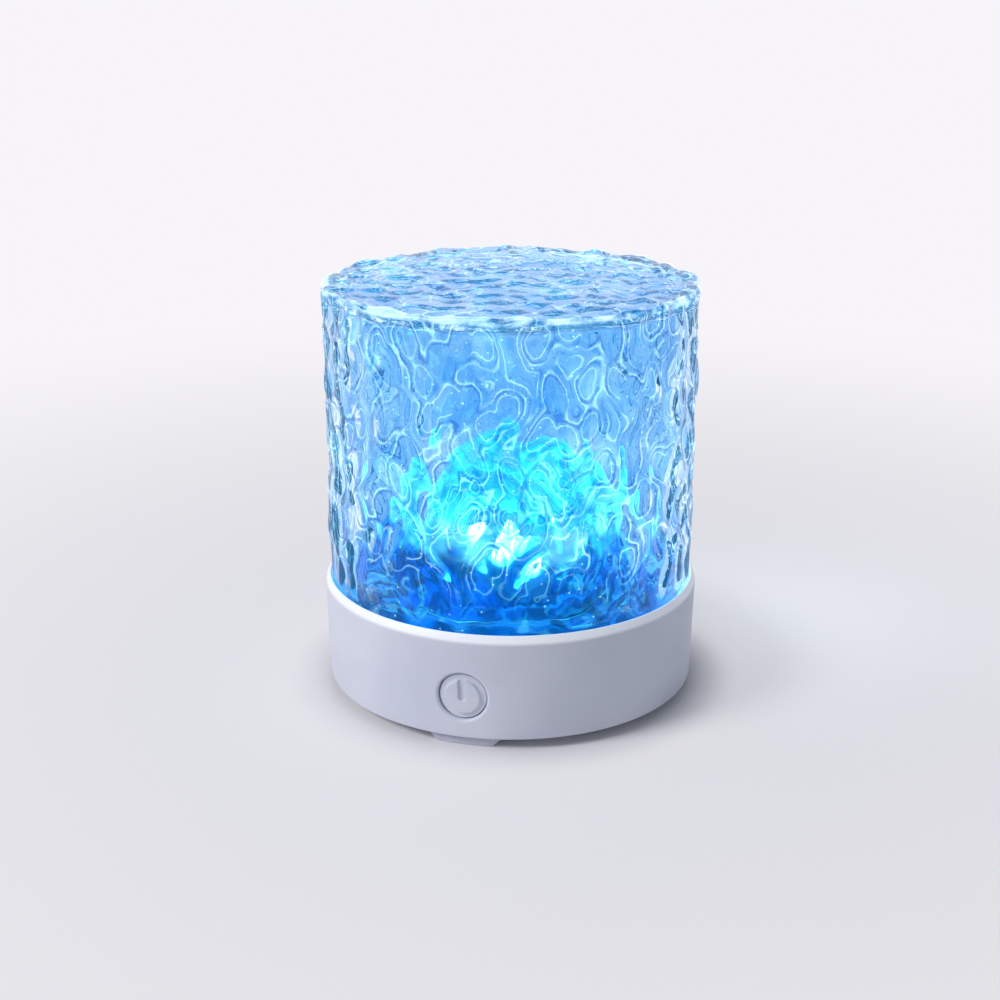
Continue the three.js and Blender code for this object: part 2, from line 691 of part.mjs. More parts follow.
/** The floor of the shade, with the rotor's collar and the holes for the shaft, the screws and the wires. */
function makeDeck() {
  const low = deckTop - DECK_THICKNESS / 2;
  const collar = washer(collarInner, collarOuter, low, deckTop + COLLAR_HEIGHT, ROTOR_FACETS);
  const through = (radius, x, y) =>
    rod(radius, deckBottom - OVERRUN, deckTop + COLLAR_HEIGHT + OVERRUN).translate(x, y, 0);
  const cuts = [
    ...around(through(screwHole, 0, -bossReach), BOSS_COUNT, 180 / BOSS_COUNT),
    ...around(through(screwHole, 0, -retainerScrewReach()), RETAINER_COUNT, 180),
    ...motorScrewPlaces().map(([x, y]) => through(screwHole, x, y)),
    through(screwHole, 0, CUP_SCREW_REACH),
    through(screwHole, 0, -CUP_SCREW_REACH),
    through(WIRE_HOLE, 0, 0),
    through(MOTOR_BOSS_RADIUS + SEAT_GAP, shaftReach, 0),
  ];
  return carve(rod(seatRadius - SEAT_GAP, deckBottom, deckTop, WIDE_FACETS), [collar], cuts);
}

/** The rotor's ring: teeth inside, a flange that slides on the washer and a wall that the dome fits over. */
function makeRingGear() {
  const spaces = gearOutline(RING_TEETH, ringTip, ringRoot, (Math.PI * gearModule) / 2 + BACKLASH);
  const body = slab(circle(ringOuter, ROTOR_FACETS), ringBottom, ringBottom + GEAR_FACE, [spaces]);
  const flange = washer(ringOuter - RING_WALL / 2, flangeRadius, ringBottom, flangeTop, ROTOR_FACETS);
  return carve(body, [flange], []);
}

/** The rippled dome that turns over the LEDs. */
function makeDome() {
  const straightTop = flangeTop + DOME_STRAIGHT;
  const outside = quarter(domeRadius, DOME_CAP, 0, straightTop, DOME_ROWS);
  const inside = quarter(domeInner, DOME_CAP - DOME_WALL, 0, straightTop, DOME_INSIDE_ROWS);
  const wall = [flangeTop, flangeTop + DOME_STRAIGHT / 3, flangeTop + (2 * DOME_STRAIGHT) / 3, straightTop];
  const corners = [
    ...wall.map((z) => [domeRadius, z]),
    ...outside,
    ...inside.reverse(),
    [domeInner, straightTop],
    [domeInner, flangeTop],
  ];
  const [middle, middleCap] = [domeRadius, DOME_CAP].map((size) => size - DOME_WALL / 2);
  const isOuter = (radius, z) => {
    const rise = Math.max(z - straightTop, 0);
    return Math.hypot(radius, (rise * middle) / middleCap) > middle;
  };
  const fade = DOME_STRAIGHT / 3;
  const relief = (point) => DOME_RIPPLE_HEIGHT * wave(point);
  return rippled(turned(corners, ROTOR_FACETS), flangeTop, fade, isOuter, relief);
}

const retainerInner = flangeRadius - RETAINER_BITE;

function retainerScrewReach() {
  return retainerStep + RETAINER_FOOT / 2;
}

/** A clip at the front that reaches over the rotor's flange. */
function makeRetainer() {
  const underside = flangeTop + RUN_GAP;
  const top = underside + RETAINER_THICKNESS;
  const corners = [
    [retainerInner, underside],
    [retainerStep, underside],
    [retainerStep, deckTop],
    [retainerOuter, deckTop],
    [retainerOuter, top],
    [retainerInner, top],
  ];
  const side = slab(corners, -RETAINER_WIDTH / 2, RETAINER_WIDTH / 2)
    .rotateX(Math.PI / 2)
    .rotateZ(-Math.PI / 2);
  const hole = rod(screwHole, deckTop - OVERRUN, top + OVERRUN);
  return carve(side, [], [hole.translate(0, -retainerScrewReach(), 0)]);
}

function makePinion() {
  const outline = gearOutline(PINION_TEETH, pinionRoot, pinionTip, (Math.PI * gearModule) / 2 - BACKLASH);
  const bore = circle(SHAFT_RADIUS + SHAFT_GAP, SMALL_FACETS);
  return slab(outline, ringBottom - PINION_DROP, ringBottom + GEAR_FACE, [bore]);
}

const motorTop = deckBottom - MOTOR_PLATE;
const shaftTop = ringBottom + GEAR_FACE + SHAFT_TIP;

function motorScrewPlaces() {
  return [1, -1].map((side) => [shaftReach, side * motorEarReach]);
}

/** The motor's can, with its gears inside it, and two terminals on its side. */
function makeMotorCan() {
  const can = rod(MOTOR_RADIUS, motorTop - MOTOR_HEIGHT, motorTop, ROUND_FACETS);
  const well = rod(SHAFT_RADIUS + SHAFT_GAP, motorTop - SHAFT_BURIED - RUN_GAP, motorTop + OVERRUN);
  const terminals = [1, -1].map((side) => {
    const y = (side * TERMINAL_SPACING) / 2;
    const z = motorTop - MOTOR_HEIGHT / 2;
    return block(
      [-MOTOR_RADIUS - TERMINAL_LENGTH, y - TERMINAL_WIDTH / 2, z - TERMINAL_THICKNESS / 2],
      [-MOTOR_RADIUS / 2, y + TERMINAL_WIDTH / 2, z + TERMINAL_THICKNESS / 2],
    );
  });
  return carve(can, terminals, [well]);
}

/** The steel plate on the motor, with two ears and the boss that the shaft comes out of. */
function makeMotorPlate() {
  const plate = rod(MOTOR_RADIUS, motorTop, deckBottom, ROUND_FACETS);
  const ears = [1, -1].flatMap((side) => [
    rod(MOTOR_EAR, motorTop, deckBottom).translate(0, side * motorEarReach, 0),
    block(
      [-MOTOR_EAR, Math.min(0, side * motorEarReach), motorTop],
      [MOTOR_EAR, Math.max(0, side * motorEarReach), deckBottom],
    ),
  ]);
  const boss = rod(MOTOR_BOSS_RADIUS, motorTop, deckBottom + MOTOR_BOSS_HEIGHT);
  const hole = rod(screwHole, motorTop - OVERRUN, deckBottom + OVERRUN);
  const holes = [1, -1].map((side) => hole.clone().translate(0, side * motorEarReach, 0));
  const bore = rod(SHAFT_RADIUS + SHAFT_GAP, motorTop - OVERRUN, deckBottom + MOTOR_BOSS_HEIGHT + OVERRUN);
  return carve(plate, [...ears, boss], [...holes, bore]);
}

/** The glossy cup in the middle that carries the LED board. */
function makeCup() {
  const bowl = quarter(CUP_HEIGHT, CUP_RADIUS - CUP_FOOT_RADIUS, 0, 0, CUP_ROWS);
  const side = bowl.map(([drop, out]) => [CUP_FOOT_RADIUS + out, cupTop - drop]);
  const pocket = LED_BOARD_RADIUS + SEAT_GAP;
  const corners = [
    [0, deckTop],
    [CUP_FOOT_RADIUS, deckTop],
    ...side,
    [pocket, cupTop],
    [pocket, ledBoardBottom],
    [0, ledBoardBottom],
  ];
  const bore = rod(WIRE_HOLE, deckTop - OVERRUN, ledBoardBottom + OVERRUN);
  const lowHole = rod(screwHole, deckTop - OVERRUN, deckTop + SCREW_LENGTH);
  const highHole = rod(screwHole, ledBoardBottom - SMALL_SCREW_LENGTH, ledBoardBottom + OVERRUN);
  const low = [1, -1].map((end) => lowHole.clone().translate(0, end * CUP_SCREW_REACH, 0));
  const high = [1, -1].map((end) => highHole.clone().translate(end * LED_SCREW_REACH, 0, 0));
  return carve(turned(corners, ROTOR_FACETS), [], [bore, ...low, ...high]);
}

function makeLedBoard() {
  const holes = [1, -1].map((end) => circle(screwHole, SMALL_FACETS, end * LED_SCREW_REACH));
  return slab(circle(LED_BOARD_RADIUS, ROTOR_FACETS), ledBoardBottom, ledBoardTop, holes);
}

/** An LED: a square body with a clear bead on it. */
function makeLed() {
  const half = LED_SIZE / 2;
  const bead = quarter(LED_DOME, LED_DOME, 0, LED_BODY, BEAD_ROWS);
  const corners = [[0, LED_BODY / 2], [LED_DOME, LED_BODY / 2], [LED_DOME, LED_BODY], ...bead];
  return carve(block([-half, -half, 0], [half, half, LED_BODY]), [turned(corners, SMALL_FACETS)], []);
}

const switchTongueEnd = switchFront - SEAT_GAP;
const socketTongueEnd = innerRadius - REAR_TONGUE_GAP;

function boardScrewPlaces() {
  const x = BOARD_WIDTH / 2 - BOARD_POST_INSET;
  const y = BOARD_LENGTH / 2 - BOARD_POST_INSET;
  return [
    [x, y],
    [-x, y],
    [-x, -y],
    [x, -y],
  ];
}

/** The main board, with a tongue out to the switch and one out to the socket. */
function makeBoard() {
  const [x, y] = [BOARD_WIDTH / 2, BOARD_LENGTH / 2];
  const [front, rear] = [FRONT_TONGUE / 2, REAR_TONGUE / 2];
  const corners = [
    [-x, -y],
    [-front, -y],
    [-front, switchTongueEnd],
    [front, switchTongueEnd],
    [front, -y],
    [x, -y],
    [x, y],
    [rear, y],
    [rear, socketTongueEnd],
    [-rear, socketTongueEnd],
    [-rear, y],
    [-x, y],
  ];
  const holes = boardScrewPlaces().map(([hx, hy]) => circle(screwHole, SMALL_FACETS, hx, hy));
  return slab(corners, boardBottom, boardTop, holes);
}

/** The USB-C socket's steel shell, with its back and its tongue, its mouth towards +Y. */
function makeSocket() {
  const inside = [SOCKET_WIDTH, SOCKET_HEIGHT].map((size) => size - 2 * SOCKET_WALL);
  const body = slab(stadium(SOCKET_WIDTH, SOCKET_HEIGHT), 0, SOCKET_DEPTH);
  const hollow = slab(stadium(...inside), SOCKET_BACK, SOCKET_DEPTH + OVERRUN);
  const tongue = block(
    [-SOCKET_TONGUE_WIDTH / 2, -SOCKET_TONGUE_THICKNESS / 2, SOCKET_BACK / 2],
    [SOCKET_TONGUE_WIDTH / 2, SOCKET_TONGUE_THICKNESS / 2, SOCKET_DEPTH - SOCKET_TONGUE_SHORT],
  );
  const shell = solid(body).subtract(solid(hollow)).add(solid(tongue));
  return geometryOf(shell).rotateX(-Math.PI / 2).translate(0, socketFront - SOCKET_DEPTH, socketMiddle);
}

/** The switch behind the button, lying on its side on the board. */
function makeSwitch() {
  const half = SWITCH_WIDTH / 2;
  const body = block([-half, switchFront, boardTop], [half, switchBack, buttonHeight + SWITCH_TOP]);
  const depth = PLUNGER_BURIED + BUTTON_TRAVEL + RUN_GAP;
  const well = alongY(PLUNGER_RADIUS + SHAFT_GAP, switchFront - OVERRUN, switchFront + depth);
  return carve(body, [], [well]);
}

/** A round rod along Y at the button's height. */
function alongY(radius, front, back, facets = ROUND_FACETS) {
  return rod(radius, front, back, facets).rotateX(-Math.PI / 2).translate(0, 0, buttonHeight);
}

/** The button: a disc with a raised middle that a bar cuts, a flange behind the wall and a stem. */
function makeButton() {
  const hole = BUTTON_DIAMETER / 2 - BUTTON_GAP;
  const drum = (radius) => rod(radius, -BUTTON_DIAMETER, BUTTON_DIAMETER, BUTTON_FACE_FACETS);
  const [face, step] = [drum(-buttonFront), drum(-buttonFront - BUTTON_STEP)];
  const [plateauFace, ringFace] = [face, step].map((g) => solid(g.translate(0, 0, buttonHeight)));
  const reach = buttonFront - OVERRUN;
  const plateau = solid(alongY(BUTTON_PLATEAU / 2, reach, flangeBack)).intersect(plateauFace);
  const ring = solid(alongY(hole, reach, flangeBack)).intersect(ringFace);
  const flange = solid(alongY(flangeRim, flangeFront, flangeBack));
  const stem = solid(alongY(BUTTON_STEM_RADIUS, flangeFront, stemEnd));
  const half = BUTTON_BAR_WIDTH / 2;
  const barTop = buttonHeight + BUTTON_PLATEAU / 2 + OVERRUN;
  const barLow = buttonHeight + BUTTON_PLATEAU / 2 - BUTTON_BAR_LENGTH;
  const bar = solid(block([-half, reach, barLow], [half, buttonFront + BUTTON_STEP, barTop]));
  return geometryOf(plateau.subtract(bar).add(ring).add(flange).add(stem));
}

function makePlunger() {
  return alongY(PLUNGER_RADIUS, plungerFront, switchFront + PLUNGER_BURIED);
}

/** A plug-in connector, open at the top, standing on the board. */
function makeConnector(width) {
  const [x, y] = [width / 2, CONNECTOR_DEPTH / 2];
  const body = block([-x, -y, 0], [x, y, CONNECTOR_HEIGHT]);
  const low = [CONNECTOR_WALL - x, CONNECTOR_WALL - y, CONNECTOR_FLOOR];
  const pocket = block(low, [x - CONNECTOR_WALL, y - CONNECTOR_WALL, CONNECTOR_HEIGHT + OVERRUN]);
  return carve(body, [], [pocket]);
}

function makeCapacitor() {
  const corners = [
    [0, 0],
    [CAPACITOR_RADIUS, 0],
    [CAPACITOR_RADIUS, CAPACITOR_SKIRT],
    [CAPACITOR_RADIUS - SEAT_GAP, 2 * CAPACITOR_SKIRT],
    [CAPACITOR_RADIUS, 3 * CAPACITOR_SKIRT],
    [CAPACITOR_RADIUS, CAPACITOR_HEIGHT - SEAT_GAP],
    [CAPACITOR_RADIUS - SEAT_GAP, CAPACITOR_HEIGHT],
    [0, CAPACITOR_HEIGHT],
  ];
  return turned(corners, ROUND_FACETS);
}

// Housing
add("base_shell", makeBaseShell(), whiteShell);
add("bottom_cover", makeCover(), whiteShell);
add("deck_plate", makeDeck(), deckBlue);
add("shade", makeShade(), clearBlue);
const gasketOuter = shadeRadius - SEAT_GAP;
const gasket = washer(gasketOuter - GASKET_WIDTH, gasketOuter, deckTop, skirtBottom, WIDE_FACETS);
add("shade_gasket", gasket, greyPad);

const footNames = ["foot_front", "foot_right", "foot_left"];
footNames.forEach((name, i) => {
  const foot = makeFoot().rotateZ(turn((360 * i) / FOOT_COUNT));
  add(name, foot, greyPad);
});

// Screws of the housing
for (let i = 0; i < BOSS_COUNT; i++) {
  const angle = turn((360 * (i + 1 / 2)) / BOSS_COUNT);
  const [x, y] = [bossReach * Math.sin(angle), -bossReach * Math.cos(angle)];
  add(`deck_screw_${i + 1}`, screw(SCREW_LENGTH), steel, [x, y, deckTop]);
  const under = screw(SCREW_LENGTH).rotateX(Math.PI);
  const seat = baseBottom + headSeat;
  add(`cover_screw_${i + 1}`, under, steel, [x, y, seat]);
}

// Rotor
add("slip_ring", washer(flangeRadius - SLIP_WIDTH, flangeRadius, deckTop, slipTop, ROTOR_FACETS), nylon);
add("ring_gear", makeRingGear(), nylon);
add("ripple_dome", makeDome(), domeCyan);
for (let i = 0; i < RETAINER_COUNT; i++) {
  const clip = new THREE.Group();
  clip.rotation.z = turn(180 + (360 * i) / RETAINER_COUNT);
  lamp.add(clip);
  add(`retainer_${i + 1}`, makeRetainer(), nylon, [0, 0, 0], clip);
  const top = flangeTop + RUN_GAP + RETAINER_THICKNESS;
  const place = [0, -retainerScrewReach(), top];
  add(`retainer_screw_${i + 1}`, screw(SCREW_LENGTH), steel, place, clip);
}

// Motor
const drive = new THREE.Group();
drive.position.x = shaftReach;
lamp.add(drive);
add("motor_can", makeMotorCan(), steel, [0, 0, 0], drive);
add("motor_plate", makeMotorPlate(), steel, [0, 0, 0], drive);
add("motor_shaft", rod(SHAFT_RADIUS, motorTop - SHAFT_BURIED, shaftTop), steel, [0, 0, 0], drive);
add("pinion", makePinion(), cream, [0, 0, 0], drive);
motorScrewPlaces().forEach(([x, y], i) => {
  add(`motor_screw_${i + 1}`, screw(SMALL_SCREW_LENGTH).rotateX(Math.PI), steel, [x, y, motorTop]);
});

// Lamp cup
add("lamp_cup", makeCup(), deckBlue);
add("led_board", makeLedBoard(), boardWhite);
[1, -1].forEach((end, i) => {
  const under = screw(SCREW_LENGTH).rotateX(Math.PI);
  add(`cup_screw_${i + 1}`, under, steel, [0, end * CUP_SCREW_REACH, deckBottom]);
  add(`led_screw_${i + 1}`, screw(SMALL_SCREW_LENGTH), steel, [end * LED_SCREW_REACH, 0, ledBoardTop]);
});
circle(LED_SPACING / Math.SQRT2, 4).forEach(([x, y], i) => {
  add(`led_${i + 1}`, makeLed(), ledLens, [(x - y) / Math.SQRT2, (x + y) / Math.SQRT2, ledBoardTop]);
});

// Main board, from the front to the back
add("main_board", makeBoard(), boardGreen);
boardScrewPlaces().forEach(([x, y], i) => {
  add(`board_screw_${i + 1}`, screw(SMALL_SCREW_LENGTH), steel, [x, y, boardTop]);
});
const capacitorPlace = [-BOARD_WIDTH / 4, -BOARD_LENGTH / 3, boardTop];
const chipPlace = [BOARD_WIDTH / 5, -BOARD_LENGTH / 3, boardTop];
const ledPlugPlace = [-BOARD_WIDTH / 4, 0, boardTop];
const motorPlugPlace = [-BOARD_WIDTH / 4, BOARD_LENGTH / 4, boardTop];
add("capacitor", makeCapacitor(), black, capacitorPlace);
const chip = block([-CHIP_WIDTH / 2, -CHIP_DEPTH / 2, 0], [CHIP_WIDTH / 2, CHIP_DEPTH / 2, CHIP_HEIGHT]);
add("controller_chip", chip, black, chipPlace);
add("led_connector", makeConnector(LED_CONNECTOR_WIDTH), cream, ledPlugPlace);
add("motor_connector", makeConnector(MOTOR_CONNECTOR_WIDTH), cream, motorPlugPlace);
add("usb_socket", makeSocket(), steel);

// Button
add("power_switch", makeSwitch(), black);
add("switch_plunger", makePlunger(), cream);
add("power_button", makeButton(), whiteShell);

// Wires, from the motor and from the LED board to their connectors
const plugFloor = boardTop + CONNECTOR_FLOOR + SEAT_GAP;
const plugTop = boardTop + CONNECTOR_HEIGHT;
[wireRed, wireBlack].forEach((look, i) => {
  const side = i === 0 ? 1 : -1;
  const end = shaftReach - MOTOR_RADIUS - TERMINAL_LENGTH - SEAT_GAP;
  const y = (side * TERMINAL_SPACING) / 2;
  const x = motorPlugPlace[0] + (side * MOTOR_CONNECTOR_WIDTH) / 5;
  const z = motorTop - MOTOR_HEIGHT / 2;
  const route = [
    [end, y, z],
    [end - 3 * WIRE_RADIUS, y, z],
    [(end + x) / 2, (y + motorPlugPlace[1]) / 2, plugTop],
    [x, motorPlugPlace[1], plugTop + 2 * WIRE_RADIUS],
    [x, motorPlugPlace[1], plugTop - 2 * WIRE_RADIUS],
    [x, motorPlugPlace[1], plugFloor],
  ];
  const name = i === 0 ? "motor_lead_red" : "motor_lead_black";
  add(name, tube(route, circle(WIRE_RADIUS, LEAD_SIDES), LEAD_STEPS), look);
});

const ribbonHalf = (RIBBON_WIRE * RIBBON_CORES) / 2;
const ribbonLines = [...Array(RIBBON_CORES).keys(), RIBBON_CORES];
const ribbonEdge = (side) =>
  ribbonLines.map((i) => {
    const across = side * (ribbonHalf - RIBBON_WIRE * i);
    return [(side * RIBBON_WIRE) / (i % 2 ? 2 : 3), across];
  });
const ribbonSection = [...ribbonEdge(1), ...ribbonEdge(-1)];
const ribbonX = ledPlugPlace[0];
const ribbonRoute = [
  [0, 0, ledBoardBottom - SEAT_GAP],
  [0, 0, deckTop],
  [0, 0, deckBottom - RIBBON_WIRE],
  [ribbonX / 2, 0, (deckBottom + plugTop) / 2],
  [ribbonX, 0, plugTop + RIBBON_WIRE],
  [ribbonX, 0, plugTop - RIBBON_WIRE],
  [ribbonX, 0, plugFloor],
];
add("led_ribbon", tube(ribbonRoute, ribbonSection, RIBBON_STEPS), ribbonGrey);

export default lamp;
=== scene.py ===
import json
import math

import bmesh
import bpy
import numpy as np
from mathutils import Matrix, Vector


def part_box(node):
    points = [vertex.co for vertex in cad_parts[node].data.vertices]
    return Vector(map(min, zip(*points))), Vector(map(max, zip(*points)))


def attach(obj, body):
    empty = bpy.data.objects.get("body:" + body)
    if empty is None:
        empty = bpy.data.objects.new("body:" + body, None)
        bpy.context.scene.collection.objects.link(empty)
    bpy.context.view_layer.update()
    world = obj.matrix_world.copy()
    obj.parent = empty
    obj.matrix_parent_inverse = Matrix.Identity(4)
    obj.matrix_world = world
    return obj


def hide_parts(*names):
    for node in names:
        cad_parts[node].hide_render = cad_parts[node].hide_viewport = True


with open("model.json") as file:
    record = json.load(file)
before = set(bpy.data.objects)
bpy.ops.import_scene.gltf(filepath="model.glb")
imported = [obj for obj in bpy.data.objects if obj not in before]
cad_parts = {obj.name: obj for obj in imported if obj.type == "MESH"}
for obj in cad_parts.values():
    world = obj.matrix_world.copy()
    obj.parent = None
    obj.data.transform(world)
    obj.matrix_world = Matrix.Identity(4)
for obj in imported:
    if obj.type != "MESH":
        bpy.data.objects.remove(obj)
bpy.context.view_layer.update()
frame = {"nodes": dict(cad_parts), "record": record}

# A water wave lamp: a clear rippled shade on a white base, with a rippled dome that turns over four LEDs.
# Sizes are in millimetres unless a heading says metres. The button faces -Y.

MM = 0.001

# A smaller radius than this is a point on the axis
ON_AXIS = 1e-6

# The most of a side that a rounded corner takes up
EASED_SHARE = 0.45

# Levels, from the table upwards
BASE_BOTTOM = 2.6
COVER_TOP = 5.0
BUTTON_HEIGHT = 13.3
DECK_BOTTOM = 22.0
DECK_TOP = 24.0
SKIRT_BOTTOM = 24.8
FLANGE_TOP = 26.4
CHAMFER_LOW = 27.6
RIM_TOP = 29.5
LED_BOARD_BOTTOM = 30.6
CUP_TOP = 33.2
DOME_STRAIGHT_TOP = 37.4
SHADE_CEILING = 101.6
SHADE_TOP = 104.8

# Radii
BASE_BOTTOM_RADIUS = 47.4
RIM_RADIUS = 48.0
INNER_RADIUS = 45.2
SEAT_RADIUS = 46.7
LEDGE_RADIUS = 43.2
SHADE_RADIUS = 46.4
SHADE_INNER = 43.4
DOME_RADIUS = 31.9
DOME_INNER = 29.9
DOME_CAP = 26.0
DOME_WALL = 2.0

bodies = frame["record"]["behaviour"]["bodies"]
body_of_node = {node: body for body, nodes in bodies.items() for node in nodes}


# Finishes


class Field:
    """A node's output, so that finishes can be written as sums of numbers that vary over a surface."""

    def __init__(self, nodes, socket):
        self.nodes = nodes
        self.socket = socket

    def maths(self, operation, *operands):
        return self.nodes.node("ShaderNodeMath", {"operation": operation}, dict(enumerate(operands)))

    def __add__(self, other):
        return self.maths("ADD", self, other)

    def __sub__(self, other):
        return self.maths("SUBTRACT", self, other)

    def __mul__(self, other):
        return self.maths("MULTIPLY", self, other)

    def __rsub__(self, other):
        return self.maths("SUBTRACT", other, self)

    __radd__ = __add__
    __rmul__ = __mul__

    def most(self, other):
        return self.maths("MAXIMUM", self, other)

    def line(self, level, width):
        """1 where this is at a level, falling to 0 width away from it."""
        return 1 - self.maths("ABSOLUTE", self - level).over(0.0, width)

    def over(self, low, high):
        """0 where this is below low, 1 where it is above high, and a smooth slope between them."""
        settings = {"interpolation_type": "SMOOTHSTEP"}
        inputs = {"Value": self, "From Min": low, "From Max": high}
        return self.nodes.node("ShaderNodeMapRange", settings, inputs)


class Nodes:
    """A tree of shader nodes, empty at first."""

    def __init__(self, tree):
        self.tree = tree
        tree.nodes.clear()

    def node(self, kind, settings=None, inputs=None, output=0):
        """Adds a node: first its settings, then the values or links of its sockets. Gives one output."""
        made = self.tree.nodes.new(kind)
        for name, value in (settings or {}).items():
            setattr(made, name, value)
        for key, value in (inputs or {}).items():
            self.put(made.inputs[key], value)
        return Field(self, made.outputs[output]) if len(made.outputs) else None

    def put(self, socket, value):
        if isinstance(value, Field):
            self.tree.links.new(value.socket, socket)
        elif isinstance(value, tuple) and socket.type == "RGBA":
            socket.default_value = (*value, 1)
        else:
            socket.default_value = value

    def blend(self, low, high, share):
        """One colour to the other as share goes from 0 to 1."""
        return self.node("ShaderNodeMix", {"data_type": "RGBA"}, {0: share, 6: low, 7: high}, 2)

    def mixed(self, low, high, share):
        """One shader to the other as share goes from 0 to 1."""
        return self.node("ShaderNodeMixShader", None, {0: share, 1: low, 2: high})

    def ray(self, kind):
        """1 on rays of a kind, such as Camera or Shadow, and 0 on the others."""
        return self.node("ShaderNodeLightPath", output=f"Is {kind} Ray")


class Finish(Nodes):
    """A material for one of the record's slots. Its lengths are in millimetres."""

    def __init__(self, name, slot):
        self.slot = slot
        self.material = bpy.data.materials.new(name)
        self.material.use_nodes = True
        super().__init__(self.material.node_tree)
        self.place = self.node("ShaderNodeTexCoord", output="Object")
        self.z = self.node("ShaderNodeSeparateXYZ", None, {0: self.place}, "Z") * (1 / MM)

    def stretched(self, x, y, z):
        """The place on the piece, multiplied along each axis."""
        settings = {"operation": "MULTIPLY"}
        return self.node("ShaderNodeVectorMath", settings, {0: self.place, 1: (x, y, z)})

    def distance(self, place):
        """How far a place is from the middle of the lamp's underside."""
        return self.node("ShaderNodeVectorMath", {"operation": "LENGTH"}, {0: place}, "Value") * (1 / MM)

    def around(self):
        """How far the surface is from the lamp's upright axis."""
        return self.distance(self.stretched(1, 1, 0))

    def grain(self, size, detail=2.0, at=None):
        """Soft noise in spots about this size."""
        inputs = {"Vector": at or self.place, "Scale": 1 / (size * MM), "Detail": detail}
        return self.node("ShaderNodeTexNoise", None, inputs)

    def cells(self, size, feature="F1"):
        """The distance from the middle or the edge of cells about this size, as a share of that size."""
        inputs = {"Vector": self.place, "Scale": 1 / (size * MM)}
        return self.node("ShaderNodeTexVoronoi", {"feature": feature}, inputs)

    def stored(self, name):
        """A number stored on the mesh: ripple is 0 in the hollows and 1 on the crests, and hollow has a
        value of its own for each hollow."""
        return self.node("ShaderNodeAttribute", {"attribute_name": name}, None, "Fac")

    def bump(self, height, depth):
        """A normal from a height between 0 and 1, which stands for this depth."""
        return self.node("ShaderNodeBump", None, {"Height": height, "Distance": depth * MM})

    def surface(self, color, roughness, normal=None, **others):
        """The main shader. Other values go by a socket's name in small letters with underscores."""
        inputs = {"Base Color": color, "Roughness": roughness}
        if normal:
            inputs["Normal"] = normal
        for name, value in others.items():
            inputs[name.replace("_", " ").title().replace("Ior", "IOR")] = value
        return self.node("ShaderNodeBsdfPrincipled", None, inputs)

    def clear_to_lamps(self, shader):
        """Lets the light of lamps straight through, as thin clear walls do."""
        return self.mixed(shader, self.node("ShaderNodeBsdfTransparent"), self.ray("Shadow"))

    def done(self, shader):
        self.node("ShaderNodeOutputMaterial", None, {"Surface": shader})
        return self


def moulded(name, slot, colour, roughness, tint=0.04):
    """Moulded plastic: a fine eroded grain, and faint flow marks in its colour and its gloss."""
    f = Finish(name, slot)
    flow = f.grain(9, 3)
    fine = f.grain(0.25, 2)
    darker = tuple(c * (1 - tint) for c in colour)
    lighter = tuple(min(1, c * (1 + tint)) for c in colour)
    color = f.blend(darker, lighter, flow * 0.6 + fine * 0.4)
    rough = roughness - 0.05 + fine * 0.06 + flow * 0.04
    return f.done(f.surface(color, rough, f.bump(fine, 0.01)))


def white_abs():
    """The base's satin plastic: pale lavender grey, with a fine spark-eroded grain, and painted lamp light.
    """
    f = Finish("satin_white_abs", "white_abs")
    flow = f.grain(26, 2)
    fine = f.grain(0.32, 2)
    dust = f.grain(1.4, 3)
    # Painted highlight: the rim's band is painted near white and glows faintly.
    rim = f.z.over(27.1, 28.2)
    color = f.blend((0.67, 0.69, 0.81), (0.74, 0.76, 0.87), flow.over(0.3, 0.7))
    color = f.blend(color, (0.65, 0.67, 0.78), dust.over(0.6, 0.8) * 0.35)
    color = f.blend(color, (0.93, 0.93, 0.98), rim)
    # Painted lamp light: the seat inside the rim glows blue.
    seat = (1 - f.around().over(46.8, 47.0)) * f.z.over(21.5, 23.5)
    glow = f.blend((0.0, 0.0, 0.0), (0.19, 0.21, 0.25), rim)
    glow = f.blend(glow, (0.05, 0.50, 1.0), seat)
    shader = f.surface(
        color,
        0.40 + fine * 0.08 + flow * 0.05,
        f.bump(fine, 0.012),
        coat_weight=0.12,
        coat_roughness=0.3,
        emission_color=glow,
        emission_strength=0.65,
    )
    return f.done(shader)


